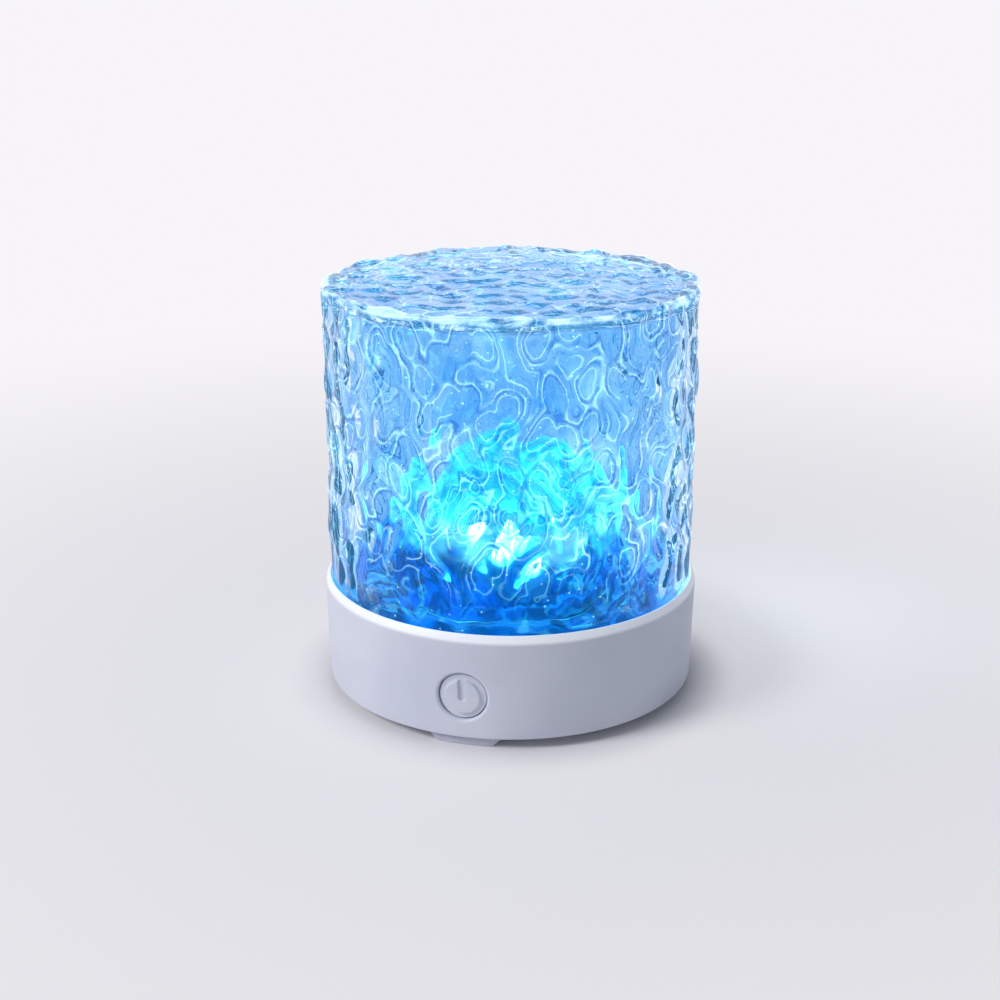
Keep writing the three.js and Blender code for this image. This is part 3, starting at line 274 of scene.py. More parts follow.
def clear_shade():
    """The shade's clear acrylic, tinted by the lamp, with its light caught along the ripples."""
    f = Finish("clear_acrylic_shade", "clear_shade")
    hollow = f.stored("hollow")
    wander = f.stored("ripple") + (f.grain(4.5, 2) - 0.5) * 0.35
    patch = f.grain(8, 2).over(0.42, 0.58)
    haze = f.grain(17, 2).over(0.36, 0.64)
    broken = f.grain(5, 1).over(0.38, 0.60)
    low = 1 - f.z.over(34, 82)
    clear_foot = f.z.over(34, 50)
    top = f.z.over(102.5, 103.5)
    # Painted highlights: bright lines along the ripples, which lighten the colour and glow.
    main = wander.line(0.52, 0.055) * (0.25 + 0.75 * broken)
    second = wander.line(0.30, 0.035) * hollow.over(0.35, 0.6)
    crest = wander.line(0.80, 0.06) * patch
    bright = main.most(second).most(crest) * (0.14 + 0.86 * clear_foot)
    # Painted shade: dark lines along the ripples, which darken the colour.
    dark = wander.line(0.43, 0.07).most(wander.line(0.70, 0.07) * (1 - patch)) * (0.3 + 0.7 * broken)
    color = f.blend((0.25, 0.59, 0.92), (0.86, 0.97, 1.0), hollow * 0.65 + haze * 0.35)
    color = f.blend(color, (0.05, 0.17, 0.58), dark * 0.9)
    color = f.blend(color, (0.98, 1.0, 1.0), bright * 0.8)
    # Painted shade: the top is tinted a deeper blue.
    color = f.blend(color, (0.03, 0.22, 0.66), top * 0.42)
    # Painted glints: small specks that glow.
    painted_glints = 1 - f.cells(3.0).over(0.04, 0.12)
    # Painted highlight: a glowing line along the top's edge.
    edge = f.z.over(103.0, 103.9) * f.around().over(44.4, 45.4) * f.grain(6, 3).over(0.38, 0.60)
    # Painted lamp light: the acrylic glows faintly blue, more on the top and in cyan patches.
    glow = f.blend((0.0, 0.008, 0.028), (0.0, 0.02, 0.05), low)
    glow = f.blend(glow, (0.0, 0.05, 0.12), top)
    glow = f.blend(glow, (0.02, 0.20, 0.32), hollow.over(0.66, 0.9) * haze * clear_foot)
    lit_line = f.blend((0.10, 0.84, 1.0), (0.52, 0.88, 1.0), clear_foot)
    glow = f.blend(glow, lit_line, bright * (0.52 + 0.40 * low))
    glow = f.blend(glow, (0.6, 0.95, 1.0), painted_glints * 0.7)
    glow = f.blend(glow, (0.75, 0.98, 1.0), edge * 0.9)
    shader = f.surface(
        color,
        0.015 + haze * 0.015,
        f.bump(f.grain(2.8, 1), 0.035),
        ior=1.49,
        specular_ior_level=0.12,
        specular_tint=(0.04, 0.55, 1.0),
        transmission_weight=1.0,
        emission_color=glow,
        emission_strength=0.85,
    )
    return f.done(f.clear_to_lamps(shader))


def clear_dome():
    """The dome's clear acrylic, with the LEDs' cyan light caught in its ripples."""
    f = Finish("clear_acrylic_dome", "clear_dome")
    ripple = f.stored("ripple") + (f.grain(4, 1) - 0.5) * 0.15
    lines = ripple.line(0.45, 0.05).most(ripple.line(0.75, 0.07) * 0.7)
    # Painted shade: dark lines along the ripples, darker in colour and glow.
    dark = ripple.line(0.36, 0.06).most(ripple.line(0.62, 0.07))
    cloud = f.grain(8, 2).over(0.38, 0.62)
    wavering = f.z + (f.grain(7, 1) - 0.5) * 12
    # Painted lamp light: a glowing band and hot spots, lighter in colour too.
    band = wavering.over(39.5, 44.5) * (1 - f.z.over(50, 66) * 0.7)
    hot = f.z.line(47, 7) * f.grain(9, 1).over(0.40, 0.60)
    color = f.blend((0.08, 0.60, 0.97), (0.36, 0.90, 1.0), band * 0.6 + ripple.over(0.2, 0.8) * band * 0.4)
    color = f.blend(color, (0.04, 0.40, 0.85), dark * band)
    glow = f.blend((0.0, 0.01, 0.03), (0.05, 0.56, 0.60), band * (0.22 + 0.78 * cloud))
    glow = f.blend(glow, (0.0, 0.12, 0.30), dark * 0.7)
    glow = f.blend(glow, (0.60, 1.0, 1.0), (lines * (0.04 + 0.96 * band)).most(hot * 0.5))
    shader = f.surface(
        color,
        0.03,
        f.bump(f.grain(2.6, 1), 0.04),
        ior=1.49,
        specular_ior_level=0.3,
        specular_tint=(0.04, 0.70, 1.0),
        transmission_weight=1.0,
        emission_color=glow,
        emission_strength=0.8,
    )
    return f.done(f.clear_to_lamps(shader))


def deep_blue():
    """The glossy deck and cup in the lamp's deep blue light, with painted bright patches and a painted sheen.
    """
    f = Finish("lit_blue_plastic", "blue_lit_plastic")
    around = f.around()
    cup = f.z.over(24.2, 24.6) * (1 - around.over(15.0, 15.2))
    # Painted shade: the glow is darker round the cup's foot.
    foot = (1 - around.over(13.5, 17.5)) * (1 - cup)
    # Painted lamp light: glowing lines, and bright cyan patches on the deck's outer part.
    lines = 1 - f.cells(9, "DISTANCE_TO_EDGE").over(0.0, 0.10)
    cloud = f.grain(12, 2).over(0.35, 0.65)
    # Painted sheen: glowing streaks on the cup.
    painted_sheen = f.grain(5, 0, at=f.stretched(1.0, 1.0, 1.6)).over(0.55, 0.62) * cup
    color = f.blend((0.0, 0.02, 0.12), (0.0, 0.22, 0.62), cloud)
    patch = f.grain(5, 1, at=f.stretched(0.6, 1.0, 1.0)).over(0.56, 0.66)
    glow = f.blend((0.0, 0.010, 0.07), (0.0, 0.11, 0.31), lines.over(0.2, 0.8) * 0.7 + cloud * 0.3)
    glow = f.blend(glow, (0.12, 0.62, 0.80), patch * around.over(30, 40))
    glow = f.blend(glow, (0.0, 0.008, 0.054), foot)
    # Painted lamp light: the cup's glow grows towards its top.
    rise = f.z.over(25, 32.5)
    glow = f.blend(glow, f.blend((0.0, 0.02, 0.115), (0.0, 0.16, 0.35), rise), cup)
    glow = f.blend(glow, (0.04, 0.35, 0.39), painted_sheen * (0.5 + 0.5 * rise))
    fine = f.grain(0.4, 2)
    shader = f.surface(
        color,
        0.12 + fine * 0.06,
        f.bump(fine, 0.006),
        specular_ior_level=0.2,
        specular_tint=(0.08, 0.60, 1.0),
        emission_color=glow,
        emission_strength=0.8,
    )
    return f.done(shader)


def silicone():
    """Grey silicone, blue where the lamp's light reaches it inside the shade."""
    f = Finish("grey_silicone", "grey_silicone")
    fine = f.grain(0.5, 3)
    cloud = f.grain(6, 2)
    color = f.blend((0.50, 0.52, 0.63), (0.60, 0.62, 0.73), cloud * 0.7 + fine * 0.3)
    color = f.blend(color, (0.0, 0.09, 0.36), f.z.over(15, 20))
    return f.done(f.surface(color, 0.62 + fine * 0.12, f.bump(fine, 0.02), sheen_weight=0.2))


def nylon():
    """Natural nylon, painted deep blue by the lamp's light, with painted cyan patches of light."""
    f = Finish("natural_nylon", "nylon")
    fine = f.grain(0.6, 2)
    cloud = f.grain(7, 2).over(0.42, 0.58)
    color = f.blend((0.0, 0.03, 0.18), (0.01, 0.22, 0.60), cloud)
    glow = f.blend((0.0, 0.01, 0.08), (0.0, 0.10, 0.30), cloud)
    glow = f.blend(glow, (0.12, 0.70, 0.90), f.grain(4, 1).over(0.58, 0.68))
    normal = f.bump(fine, 0.01)
    return f.done(f.surface(color, 0.36 + fine * 0.1, normal, emission_color=glow, emission_strength=0.5))


def zinc_steel():
    """Zinc-plated steel, with fine rolling lines and cloudy gloss."""
    f = Finish("zinc_steel", "steel")
    lines = f.grain(0.25, 2, at=f.stretched(0.12, 1.0, 1.0))
    cloud = f.grain(3, 3)
    color = f.blend((0.46, 0.47, 0.50), (0.64, 0.65, 0.67), cloud * 0.6 + lines * 0.4)
    rough = 0.22 + lines * 0.16 + cloud * 0.08
    return f.done(f.surface(color, rough, f.bump(lines, 0.004), metallic=1.0))


def circuit_board(name, slot, mask, track, pad, pitch):
    """Solder mask over copper tracks that run along X and Y, with plated vias."""
    f = Finish(name, slot)
    settings = {"offset": 0.5, "squash": 0.6, "squash_frequency": 3}
    inputs = {
        "Vector": f.place,
        "Scale": 1 / (pitch * MM),
        "Mortar Size": 0.09,
        "Mortar Smooth": 0.1,
        "Brick Width": 2.3,
        "Row Height": 0.8,
    }
    tracks = f.node("ShaderNodeTexBrick", settings, inputs, "Fac")
    vias = 1 - f.cells(pitch * 1.9).over(0.10, 0.13)
    weave = f.grain(0.3, 2)
    color = f.blend(mask, track, tracks * 0.8)
    color = f.blend(color, pad, vias)
    height = tracks * 0.5 + vias * 0.4 + weave * 0.1
    shader = f.surface(
        color, 0.30 + weave * 0.12, f.bump(height, 0.03), metallic=vias * 0.8, coat_weight=0.3
    )
    return f.done(shader)


def led_resin():
    """An LED's clear bead, white hot in its middle and cyan at its edge."""
    f = Finish("led_resin", "led_lens")
    hot = f.z.over(33.5, 35.5)
    glow = f.blend((0.25, 0.95, 1.0), (1.0, 1.0, 1.0), hot)
    shader = f.surface(
        (0.7, 0.97, 1.0),
        0.12 + f.grain(0.6, 1) * 0.05,
        emission_color=glow,
        emission_strength=9.0,
    )
    return f.done(shader)


def insulation(name, slot, colour):
    """A wire's soft plastic, with faint streaks along it."""
    f = Finish(name, slot)
    streaks = f.grain(0.5, 2, at=f.stretched(1.0, 1.0, 0.3))
    lighter = tuple(min(1, c * 1.35 + 0.01) for c in colour)
    color = f.blend(colour, lighter, streaks)
    return f.done(f.surface(color, 0.42 + streaks * 0.15, f.bump(streaks, 0.015)))


abs_finish = white_abs()
shade_finish = clear_shade()
dome_finish = clear_dome()
blue_finish = deep_blue()
silicone_finish = silicone()
nylon_finish = nylon()
steel_finish = zinc_steel()
cream_finish = moulded("cream_acetal", "cream_plastic", (0.78, 0.74, 0.60), 0.38)
black_finish = moulded("black_moulding", "black_plastic", (0.022, 0.022, 0.027), 0.42, tint=0.25)
green_finish = circuit_board(
    "green_board", "green_board", (0.008, 0.12, 0.055), (0.02, 0.25, 0.12), (0.80, 0.62, 0.25), 2.4
)
white_board_finish = circuit_board(
    "white_board", "white_board", (0.78, 0.86, 0.90), (0.66, 0.75, 0.80), (0.80, 0.70, 0.45), 2.0
)
resin_finish = led_resin()
red_finish = insulation("red_insulation", "red_wire", (0.42, 0.02, 0.015))
dark_finish = insulation("black_insulation", "black_wire", (0.018, 0.018, 0.02))
ribbon_finish = insulation("grey_insulation", "grey_wire", (0.26, 0.29, 0.34))

finish_of_slot = {
    finish.slot: finish
    for finish in (
        abs_finish, shade_finish, dome_finish, blue_finish, silicone_finish, nylon_finish, steel_finish,
        cream_finish, black_finish, green_finish, white_board_finish, resin_finish, red_finish, dark_finish,
        ribbon_finish,
    )
}
slot_of_node = {part["node"]: part["material_slot"] for part in frame["record"]["subparts"]}


# Shapes


def round_angles(count):
    return [2 * math.pi * i / count for i in range(count)]


def corners_of(node):
    """The lowest and highest corners of a CAD node, in millimetres."""
    return [Vector(corner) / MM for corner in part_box(node)]


def smooth_step(value, low, high):
    """0 below low, 1 above high, and a smooth slope between them."""
    share = np.clip((value - low) / (high - low), 0, 1)
    return share * share * (3 - 2 * share)


def bands(rings):
    """Quads between closed rows of points' numbers, all of one length."""
    faces = []
    for one, other in zip(rings, rings[1:]):
        for i in range(len(one)):
            j = (i + 1) % len(one)
            faces.append([one[i], one[j], other[j], other[i]])
    return faces


def skinned(loops, middle=None):
    """Points and faces of a body from its loops of points. Its ends are flat, or the first has a middle."""
    points = [middle] if middle else []
    rings = []
    for loop in loops:
        rings.append(list(range(len(points), len(points) + len(loop))))
        points += loop
    first = rings[0]
    start = [[0, one, other] for one, other in zip(first, first[1:] + first[:1])] if middle else [first]
    return points, start + bands(rings) + [rings[-1]]


def piece(name, points, faces, finish, body, stands_for, crease=35):
    """A mesh in millimetres as a piece that rides on a body and stands for CAD nodes."""
    mesh = bpy.data.meshes.new(name)
    mesh.from_pydata((np.asarray(points, float) * MM).tolist(), [], faces)
    work = bmesh.new()
    work.from_mesh(mesh)
    bmesh.ops.recalc_face_normals(work, faces=work.faces)
    work.to_mesh(mesh)
    work.free()
    return dressed(name, mesh, finish, body, stands_for, crease)


def dressed(name, mesh, finish, body, stands_for, crease=35):
    """A mesh as a piece, with its finish, its body and the nodes that it stands for. crease is in degrees."""
    mesh.shade_smooth()
    mesh.set_sharp_from_angle(angle=math.radians(crease))
    mesh.materials.clear()
    mesh.materials.append(finish.material)
    made = bpy.data.objects.new(name, mesh)
    bpy.context.scene.collection.objects.link(made)
    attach(made, body)
    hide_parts(*stands_for)
    return made


def softened(node, edge, steps=2):
    """A copy of a CAD node with its edges rounded by edge millimetres."""
    mesh = frame["nodes"][node].data.copy()
    work = bmesh.new()
    work.from_mesh(mesh)
    bmesh.ops.remove_doubles(work, verts=work.verts, dist=0.002 * MM)
    bmesh.ops.dissolve_limit(work, angle_limit=math.radians(1), verts=work.verts, edges=work.edges)
    work.to_mesh(mesh)
    work.free()
    finish = finish_of_slot[slot_of_node[node]]
    made = dressed(node + "_piece", mesh, finish, body_of_node[node], [node])
    rounding = made.modifiers.new("rounding", "BEVEL")
    rounding.width = edge * MM
    rounding.segments = steps
    rounding.limit_method = "ANGLE"
    rounding.angle_limit = math.radians(38)
    rounding.harden_normals = True
    return made


def turned(section, columns):
    """Points and faces of a closed section of [radius, height] corners turned about Z, from -Y on."""
    angles = round_angles(columns)
    points = []
    rings = []
    for radius, height in section:
        start = len(points)
        if radius < ON_AXIS:
            points.append((0, 0, height))
            rings.append([start])
        else:
            points += [(radius * math.sin(a), -radius * math.cos(a), height) for a in angles]
            rings.append(list(range(start, start + columns)))
    faces = []
    for low, high in zip(rings, rings[1:] + rings[:1]):
        for i in range(columns):
            j = (i + 1) % columns
            corners = [low[i % len(low)], low[j % len(low)], high[j % len(high)], high[i % len(high)]]
            corners = list(dict.fromkeys(corners))
            if len(corners) > 2:
                faces.append(corners)
    return points, faces


def eased(corners, edge, steps=4):
    """A closed section with each corner rounded. edge is one radius, or a list with one for each corner."""
    edges = edge if isinstance(edge, (list, tuple)) else [edge] * len(corners)
    made = []
    for i, (corner, radius) in enumerate(zip(corners, edges)):
        here = np.array(corner, float)
        before = np.array(corners[i - 1], float) - here
        after = np.array(corners[(i + 1) % len(corners)], float) - here
        reach = min(radius, np.linalg.norm(before) * EASED_SHARE, np.linalg.norm(after) * EASED_SHARE)
        if reach <= 0 or here[0] < ON_AXIS:
            made.append(tuple(here))
            continue
        start = here + before / np.linalg.norm(before) * reach
        end = here + after / np.linalg.norm(after) * reach
        for k in range(steps + 1):
            t = k / steps
            point = (1 - t) ** 2 * start + 2 * t * (1 - t) * here + t**2 * end
            made.append(tuple(point))
    return made


def lathe(name, corners, edge, finish, body, stands_for, columns):
    points, faces = turned(eased(corners, edge), columns)
    return piece(name, points, faces, finish, body, stands_for)


def swept(route, section, steps):
    """Points and faces of a section of [across, up] corners along a smooth curve through a route."""
    route = np.array(route, float)
    ends = np.vstack([2 * route[0] - route[1], route, 2 * route[-1] - route[-2]])
    line = []
    for a, b, c, d in zip(ends, ends[1:], ends[2:], ends[3:]):
        slope = c - a
        bend = 2 * a - 5 * b + 4 * c - d
        twist = 3 * b - a - 3 * c + d
        for k in range(steps):
            t = k / steps
            line.append(b + 0.5 * (slope * t + bend * t**2 + twist * t**3))
    line.append(route[-1])
    side = Vector((0, 1, 0))
    loops = []
    for i, here in enumerate(line):
        along = Vector(line[min(i + 1, len(line) - 1)] - line[max(i - 1, 0)]).normalized()
        side = (side - along * side.dot(along)).normalized()
        up = along.cross(side)
        loops.append([tuple(Vector(here) + side * across + up * rise) for across, rise in section])
    return skinned(loops)


# Ripples

SCATTER = 0.84
CELL_ROUNDING = 1.7
CELL_EDGE = 0.67
CELLS_AT_ONCE = 4000
BEND = 1.1
BEND_WAVE = 3.0
LONG_WAVE = (14, 21)
LONG_WAVE_HEIGHT = 0.35
SHORT_WAVE = (5.3, 8.3)
SHORT_WAVE_HEIGHT = 0.05
SINE_STEP = 12.9898
SINE_REACH = 43758.5453


class Chance:
    """Numbers from -0.5 to 0.5 that look random and are the same at each run."""

    def __init__(self):
        self.count = 0

    def __call__(self):
        self.count += 1
        value = math.sin(self.count * SINE_STEP) * SINE_REACH
        return value - math.floor(value) - 0.5


def scattered(radius, low, high, top, pitch, tall):
    """Middles of the ripples' cells: staggered rows round a wall, then rows over its top."""
    chance = Chance()
    middles = []
    rows = max(1, round((high - low) / (pitch * tall)))
    count = round(2 * math.pi * radius / pitch)
    for row in range(rows):
        for i in range(count):
            angle = (i + row % 2 / 2 + SCATTER * chance()) * 2 * math.pi / count
            height = low + (row + 0.5 + SCATTER * chance()) * (high - low) / rows
            middles.append((radius * math.sin(angle), -radius * math.cos(angle), height))
    across = round(2 * radius / pitch)
    for row in range(across + 1):
        for i in range(across + 1):
            x = (i + row % 2 / 2 + SCATTER * chance()) * pitch - radius
            y = (row + SCATTER * chance()) * pitch - radius
            distance = math.hypot(x, y)
            if distance < radius - pitch / 3:
                middles.append((x, y, top(distance)))
    return np.array(middles)


def cell_reach(points, middles, tall):
    """How far points are from their cells' middles, softened where cells meet, and each cell's own value."""
    u, v, w = (points / (1, 1, tall) / BEND_WAVE).T
    bent = points + BEND * np.array([np.sin(v + w), np.sin(w + u), np.sin(u + v)]).T
    reach = np.empty(len(points))
    tone = np.empty(len(points))
    chance = Chance()
    tones = np.array([chance() + 0.5 for _ in middles])
    for start in range(0, len(points), CELLS_AT_ONCE):
        part = slice(start, start + CELLS_AT_ONCE)
        away = (((bent[part][:, None, :] - middles[None]) / (1, 1, tall)) ** 2).sum(2)
        near = np.exp(-np.sqrt(away + CELL_ROUNDING**2) / CELL_EDGE)
        reach[part] = -np.log(near.sum(1)) * CELL_EDGE
        tone[part] = (near**3 @ tones) / (near**3).sum(1)
    return reach, tone


def waves(points, pitch, rise):
    """Long waves, from -1 to 1, from crest to crest pitch across and rise upwards."""
    u, v, w = (points * 2 * math.pi / (pitch, pitch, rise)).T
    return (np.cos(u + np.sin(w)) + np.cos(v + np.sin(u)) + np.cos(w + np.sin(v))) / 3


def rippled_shell(name, outer, inner, middles, finish, body, node, *, columns, tall, low, high, height):
    """A cup turned upside down whose outside is rippled.

    outer holds rows of (radius, z, normal out, normal up, share of the ripples' height). The ripples rise
    from the distance low to the distance high from the cells' middles. Cells are tall times as high as wide.
    """
    points, faces = turned([row[:2] for row in outer] + inner, columns)
    points = np.array(points, float)
    angles = round_angles(columns)
    normals = []
    shares = []
    for radius, _, out, up, share in outer:
        if radius < ON_AXIS:
            normals.append((0, 0, 1))
            shares.append(share)
        else:
            normals += [(out * math.sin(a), -out * math.cos(a), up) for a in angles]
            shares += [share] * columns
    normals = np.array(normals)
    shares = np.array(shares)
    count = len(normals)
    skin = points[:count]
    reach, tone = cell_reach(skin, middles, tall)
    cells = np.clip((reach - low) / (high - low), 0, 1)
    rise = (cells - 0.5) * 2
    rise += waves(skin, *LONG_WAVE) * LONG_WAVE_HEIGHT + waves(skin, *SHORT_WAVE) * SHORT_WAVE_HEIGHT
    points[:count] = skin + normals * (rise * height * shares)[:, None]
    made = piece(name, points, faces, finish, body, [node], crease=180)
    for label, values in (("ripple", cells * shares), ("hollow", tone)):
        stored = np.zeros(len(points))
        stored[:count] = values
        made.data.attributes.new(label, "FLOAT", "POINT").data.foreach_set("value", stored)
    return made


def make_shade():
    """The ripples fade out over the wall's foot, and are lower on the top."""
    corner = 1.4
    corner_steps = 5
    flat = RIM_TOP + 0.5
    corner_low = SHADE_TOP - corner
    edge = SHADE_RADIUS - corner
    wall_rows = 118
    top_rows = 66
    inner_drop = 10.5
    outer = [(SHADE_RADIUS - 0.4, SKIRT_BOTTOM, 1, 0, 0), (SHADE_RADIUS, SKIRT_BOTTOM + 0.4, 1, 0, 0)]
    outer += [(SHADE_RADIUS, RIM_TOP - 1, 1, 0, 0)]
    for i in range(wall_rows + 1):
        share = min(1, i / 4, 0.35 + 0.65 * i / 20)
        outer.append((SHADE_RADIUS, flat + (corner_low - flat) * i / wall_rows, 1, 0, share))
    for i in range(1, corner_steps):
        a = math.pi / 2 * i / corner_steps
        out, up = math.cos(a), math.sin(a)
        outer.append((edge + corner * out, corner_low + corner * up, out, up, 0.85 - 0.04 * i))
    outer += [(edge * (1 - i / top_rows), SHADE_TOP, 0, 1, 0.65) for i in range(top_rows + 1)]
    inner = [(SHADE_INNER * i / 8, SHADE_CEILING) for i in range(8)]
    inner += [(SHADE_INNER - 1, SHADE_CEILING), (SHADE_INNER - 0.3, SHADE_CEILING - 0.3)]
    inner += [(SHADE_INNER, SHADE_CEILING - 1 - i * inner_drop) for i in range(8)]
    inner += [(SHADE_INNER, SKIRT_BOTTOM + 0.3), (SHADE_INNER + 0.3, SKIRT_BOTTOM)]
    middles = scattered(SHADE_RADIUS, RIM_TOP, SHADE_TOP, lambda _: SHADE_TOP, pitch=7.6, tall=1.5)
    return rippled_shell(
        "rippled_shade", outer, inner, middles, shade_finish, "root", "shade",
        columns=400, tall=1.5, low=1.8, high=5.6, height=0.8,
    )


def dome_height(distance):
    """The height of the dome's outside at a distance from its axis."""
    return DOME_STRAIGHT_TOP + DOME_CAP * math.sqrt(max(0, 1 - (distance / DOME_RADIUS) ** 2))


def make_dome():
    """The ripples fade in over the dome's straight foot."""
    foot_rows = 15
    cap_rows = 70
    inner_rows = 24
    outer = [(DOME_RADIUS, FLANGE_TOP, 1, 0, 0)]
    outer += [(DOME_RADIUS, FLANGE_TOP + 0.4 + 0.7 * i, 1, 0, (i / foot_rows) ** 2) for i in range(foot_rows)]
    for i in range(cap_rows + 1):
        a = math.pi / 2 * i / cap_rows
        radius = 0 if i == cap_rows else DOME_RADIUS * math.cos(a)
        slope = math.hypot(math.cos(a) / DOME_RADIUS, math.sin(a) / DOME_CAP)
        out, up = math.cos(a) / DOME_RADIUS / slope, math.sin(a) / DOME_CAP / slope
        outer.append((radius, DOME_STRAIGHT_TOP + DOME_CAP * math.sin(a), out, up, 1))
    inner = []
    for i in range(inner_rows + 1):
        a = math.pi / 2 * (1 - i / inner_rows)
        radius = 0 if i == 0 else DOME_INNER * math.cos(a)
        inner.append((radius, DOME_STRAIGHT_TOP + (DOME_CAP - DOME_WALL) * math.sin(a)))
    inner += [(DOME_INNER, FLANGE_TOP + 5), (DOME_INNER, FLANGE_TOP)]
    middles = scattered(DOME_RADIUS, FLANGE_TOP, DOME_STRAIGHT_TOP, dome_height, pitch=8.4, tall=1.2)
    return rippled_shell(
        "rippled_dome", outer, inner, middles, dome_finish, "rotor", "ripple_dome",
        columns=240, tall=1.0, low=1.8, high=7.5, height=0.42,
    )


# Base shell, with a round opening for the button and a long one for the socket

WALL_COLUMNS = 384
WALL_ROWS = 18
WALL_LOW = 5.6
WALL_HIGH = 20.6
WALL_STEP = (WALL_HIGH - WALL_LOW) / WALL_ROWS
COVER_SEAT = INNER_RADIUS + 1.2
LIP = 0.75
BUTTON_OPENING = 6.1
SOCKET_HEIGHT = 11.43
SOCKET_WIDTH = 8.94
SOCKET_THICKNESS = 3.26
SOCKET_GAP = 0.7


def wall_radius(z):
    share = (z - BASE_BOTTOM) / (CHAMFER_LOW - BASE_BOTTOM)
    return BASE_BOTTOM_RADIUS + (RIM_RADIUS - BASE_BOTTOM_RADIUS) * share


def button_opening(_):
    """How far the button's opening reaches from its middle, the same at any angle."""
    return BUTTON_OPENING


def socket_opening(angle):
    """How far the socket's opening, a slot with round ends, reaches from its middle at an angle."""
    radius = SOCKET_THICKNESS / 2 + SOCKET_GAP
    straight = SOCKET_WIDTH / 2 + SOCKET_GAP - radius
    c, s = abs(math.cos(angle)), abs(math.sin(angle))
    if s > 1e-9 and radius / s * c <= straight:
        return radius / s
    return c * straight + math.sqrt(max(0, radius**2 - (s * straight) ** 2))


def block_loop(grid, low, high, first, last):
    """The points' numbers round a block of a wall's grid, from row low to high and column first to last."""
    count = len(grid[0])
    loop = [grid[low][c % count] for c in range(first, last)]
    loop += [grid[r][last % count] for r in range(low, high)]
    loop += [grid[high][c % count] for c in range(last, first, -1)]
    loop += [grid[r][first % count] for r in range(high, low, -1)]
    return loop


def shell_section():
    """The shell's section in three runs: up its outside, over the rim and the ledge, and down its inside."""
    levels = [WALL_LOW + WALL_STEP * i for i in range(WALL_ROWS + 1)]
    lower = eased(
        [(COVER_SEAT, COVER_TOP), (COVER_SEAT, BASE_BOTTOM), (BASE_BOTTOM_RADIUS, BASE_BOTTOM)]
        + [(wall_radius(WALL_LOW), WALL_LOW), (INNER_RADIUS, WALL_LOW), (INNER_RADIUS, COVER_TOP)],
        [0, 0.2, 0.5, 0, 0, 0],
    )
    ledge_bottom = WALL_HIGH + 0.2
    upper = eased(
        [(wall_radius(WALL_HIGH), WALL_HIGH), (RIM_RADIUS, CHAMFER_LOW), (SEAT_RADIUS + 0.3, RIM_TOP)]
        + [(SEAT_RADIUS, RIM_TOP), (SEAT_RADIUS, DECK_BOTTOM), (LEDGE_RADIUS, DECK_BOTTOM)]
        + [(LEDGE_RADIUS, ledge_bottom), (INNER_RADIUS, ledge_bottom), (INNER_RADIUS, WALL_HIGH)],
        [0, 0.7, 0.45, 0.1, 0.2, 0.3, 0.3, 0, 0],
    )
    outside = lower[:-3] + [(wall_radius(z), z) for z in levels]
    inside = [(INNER_RADIUS, z) for z in reversed(levels)] + [(INNER_RADIUS, COVER_TOP)]
    return outside, upper[1:-1], inside


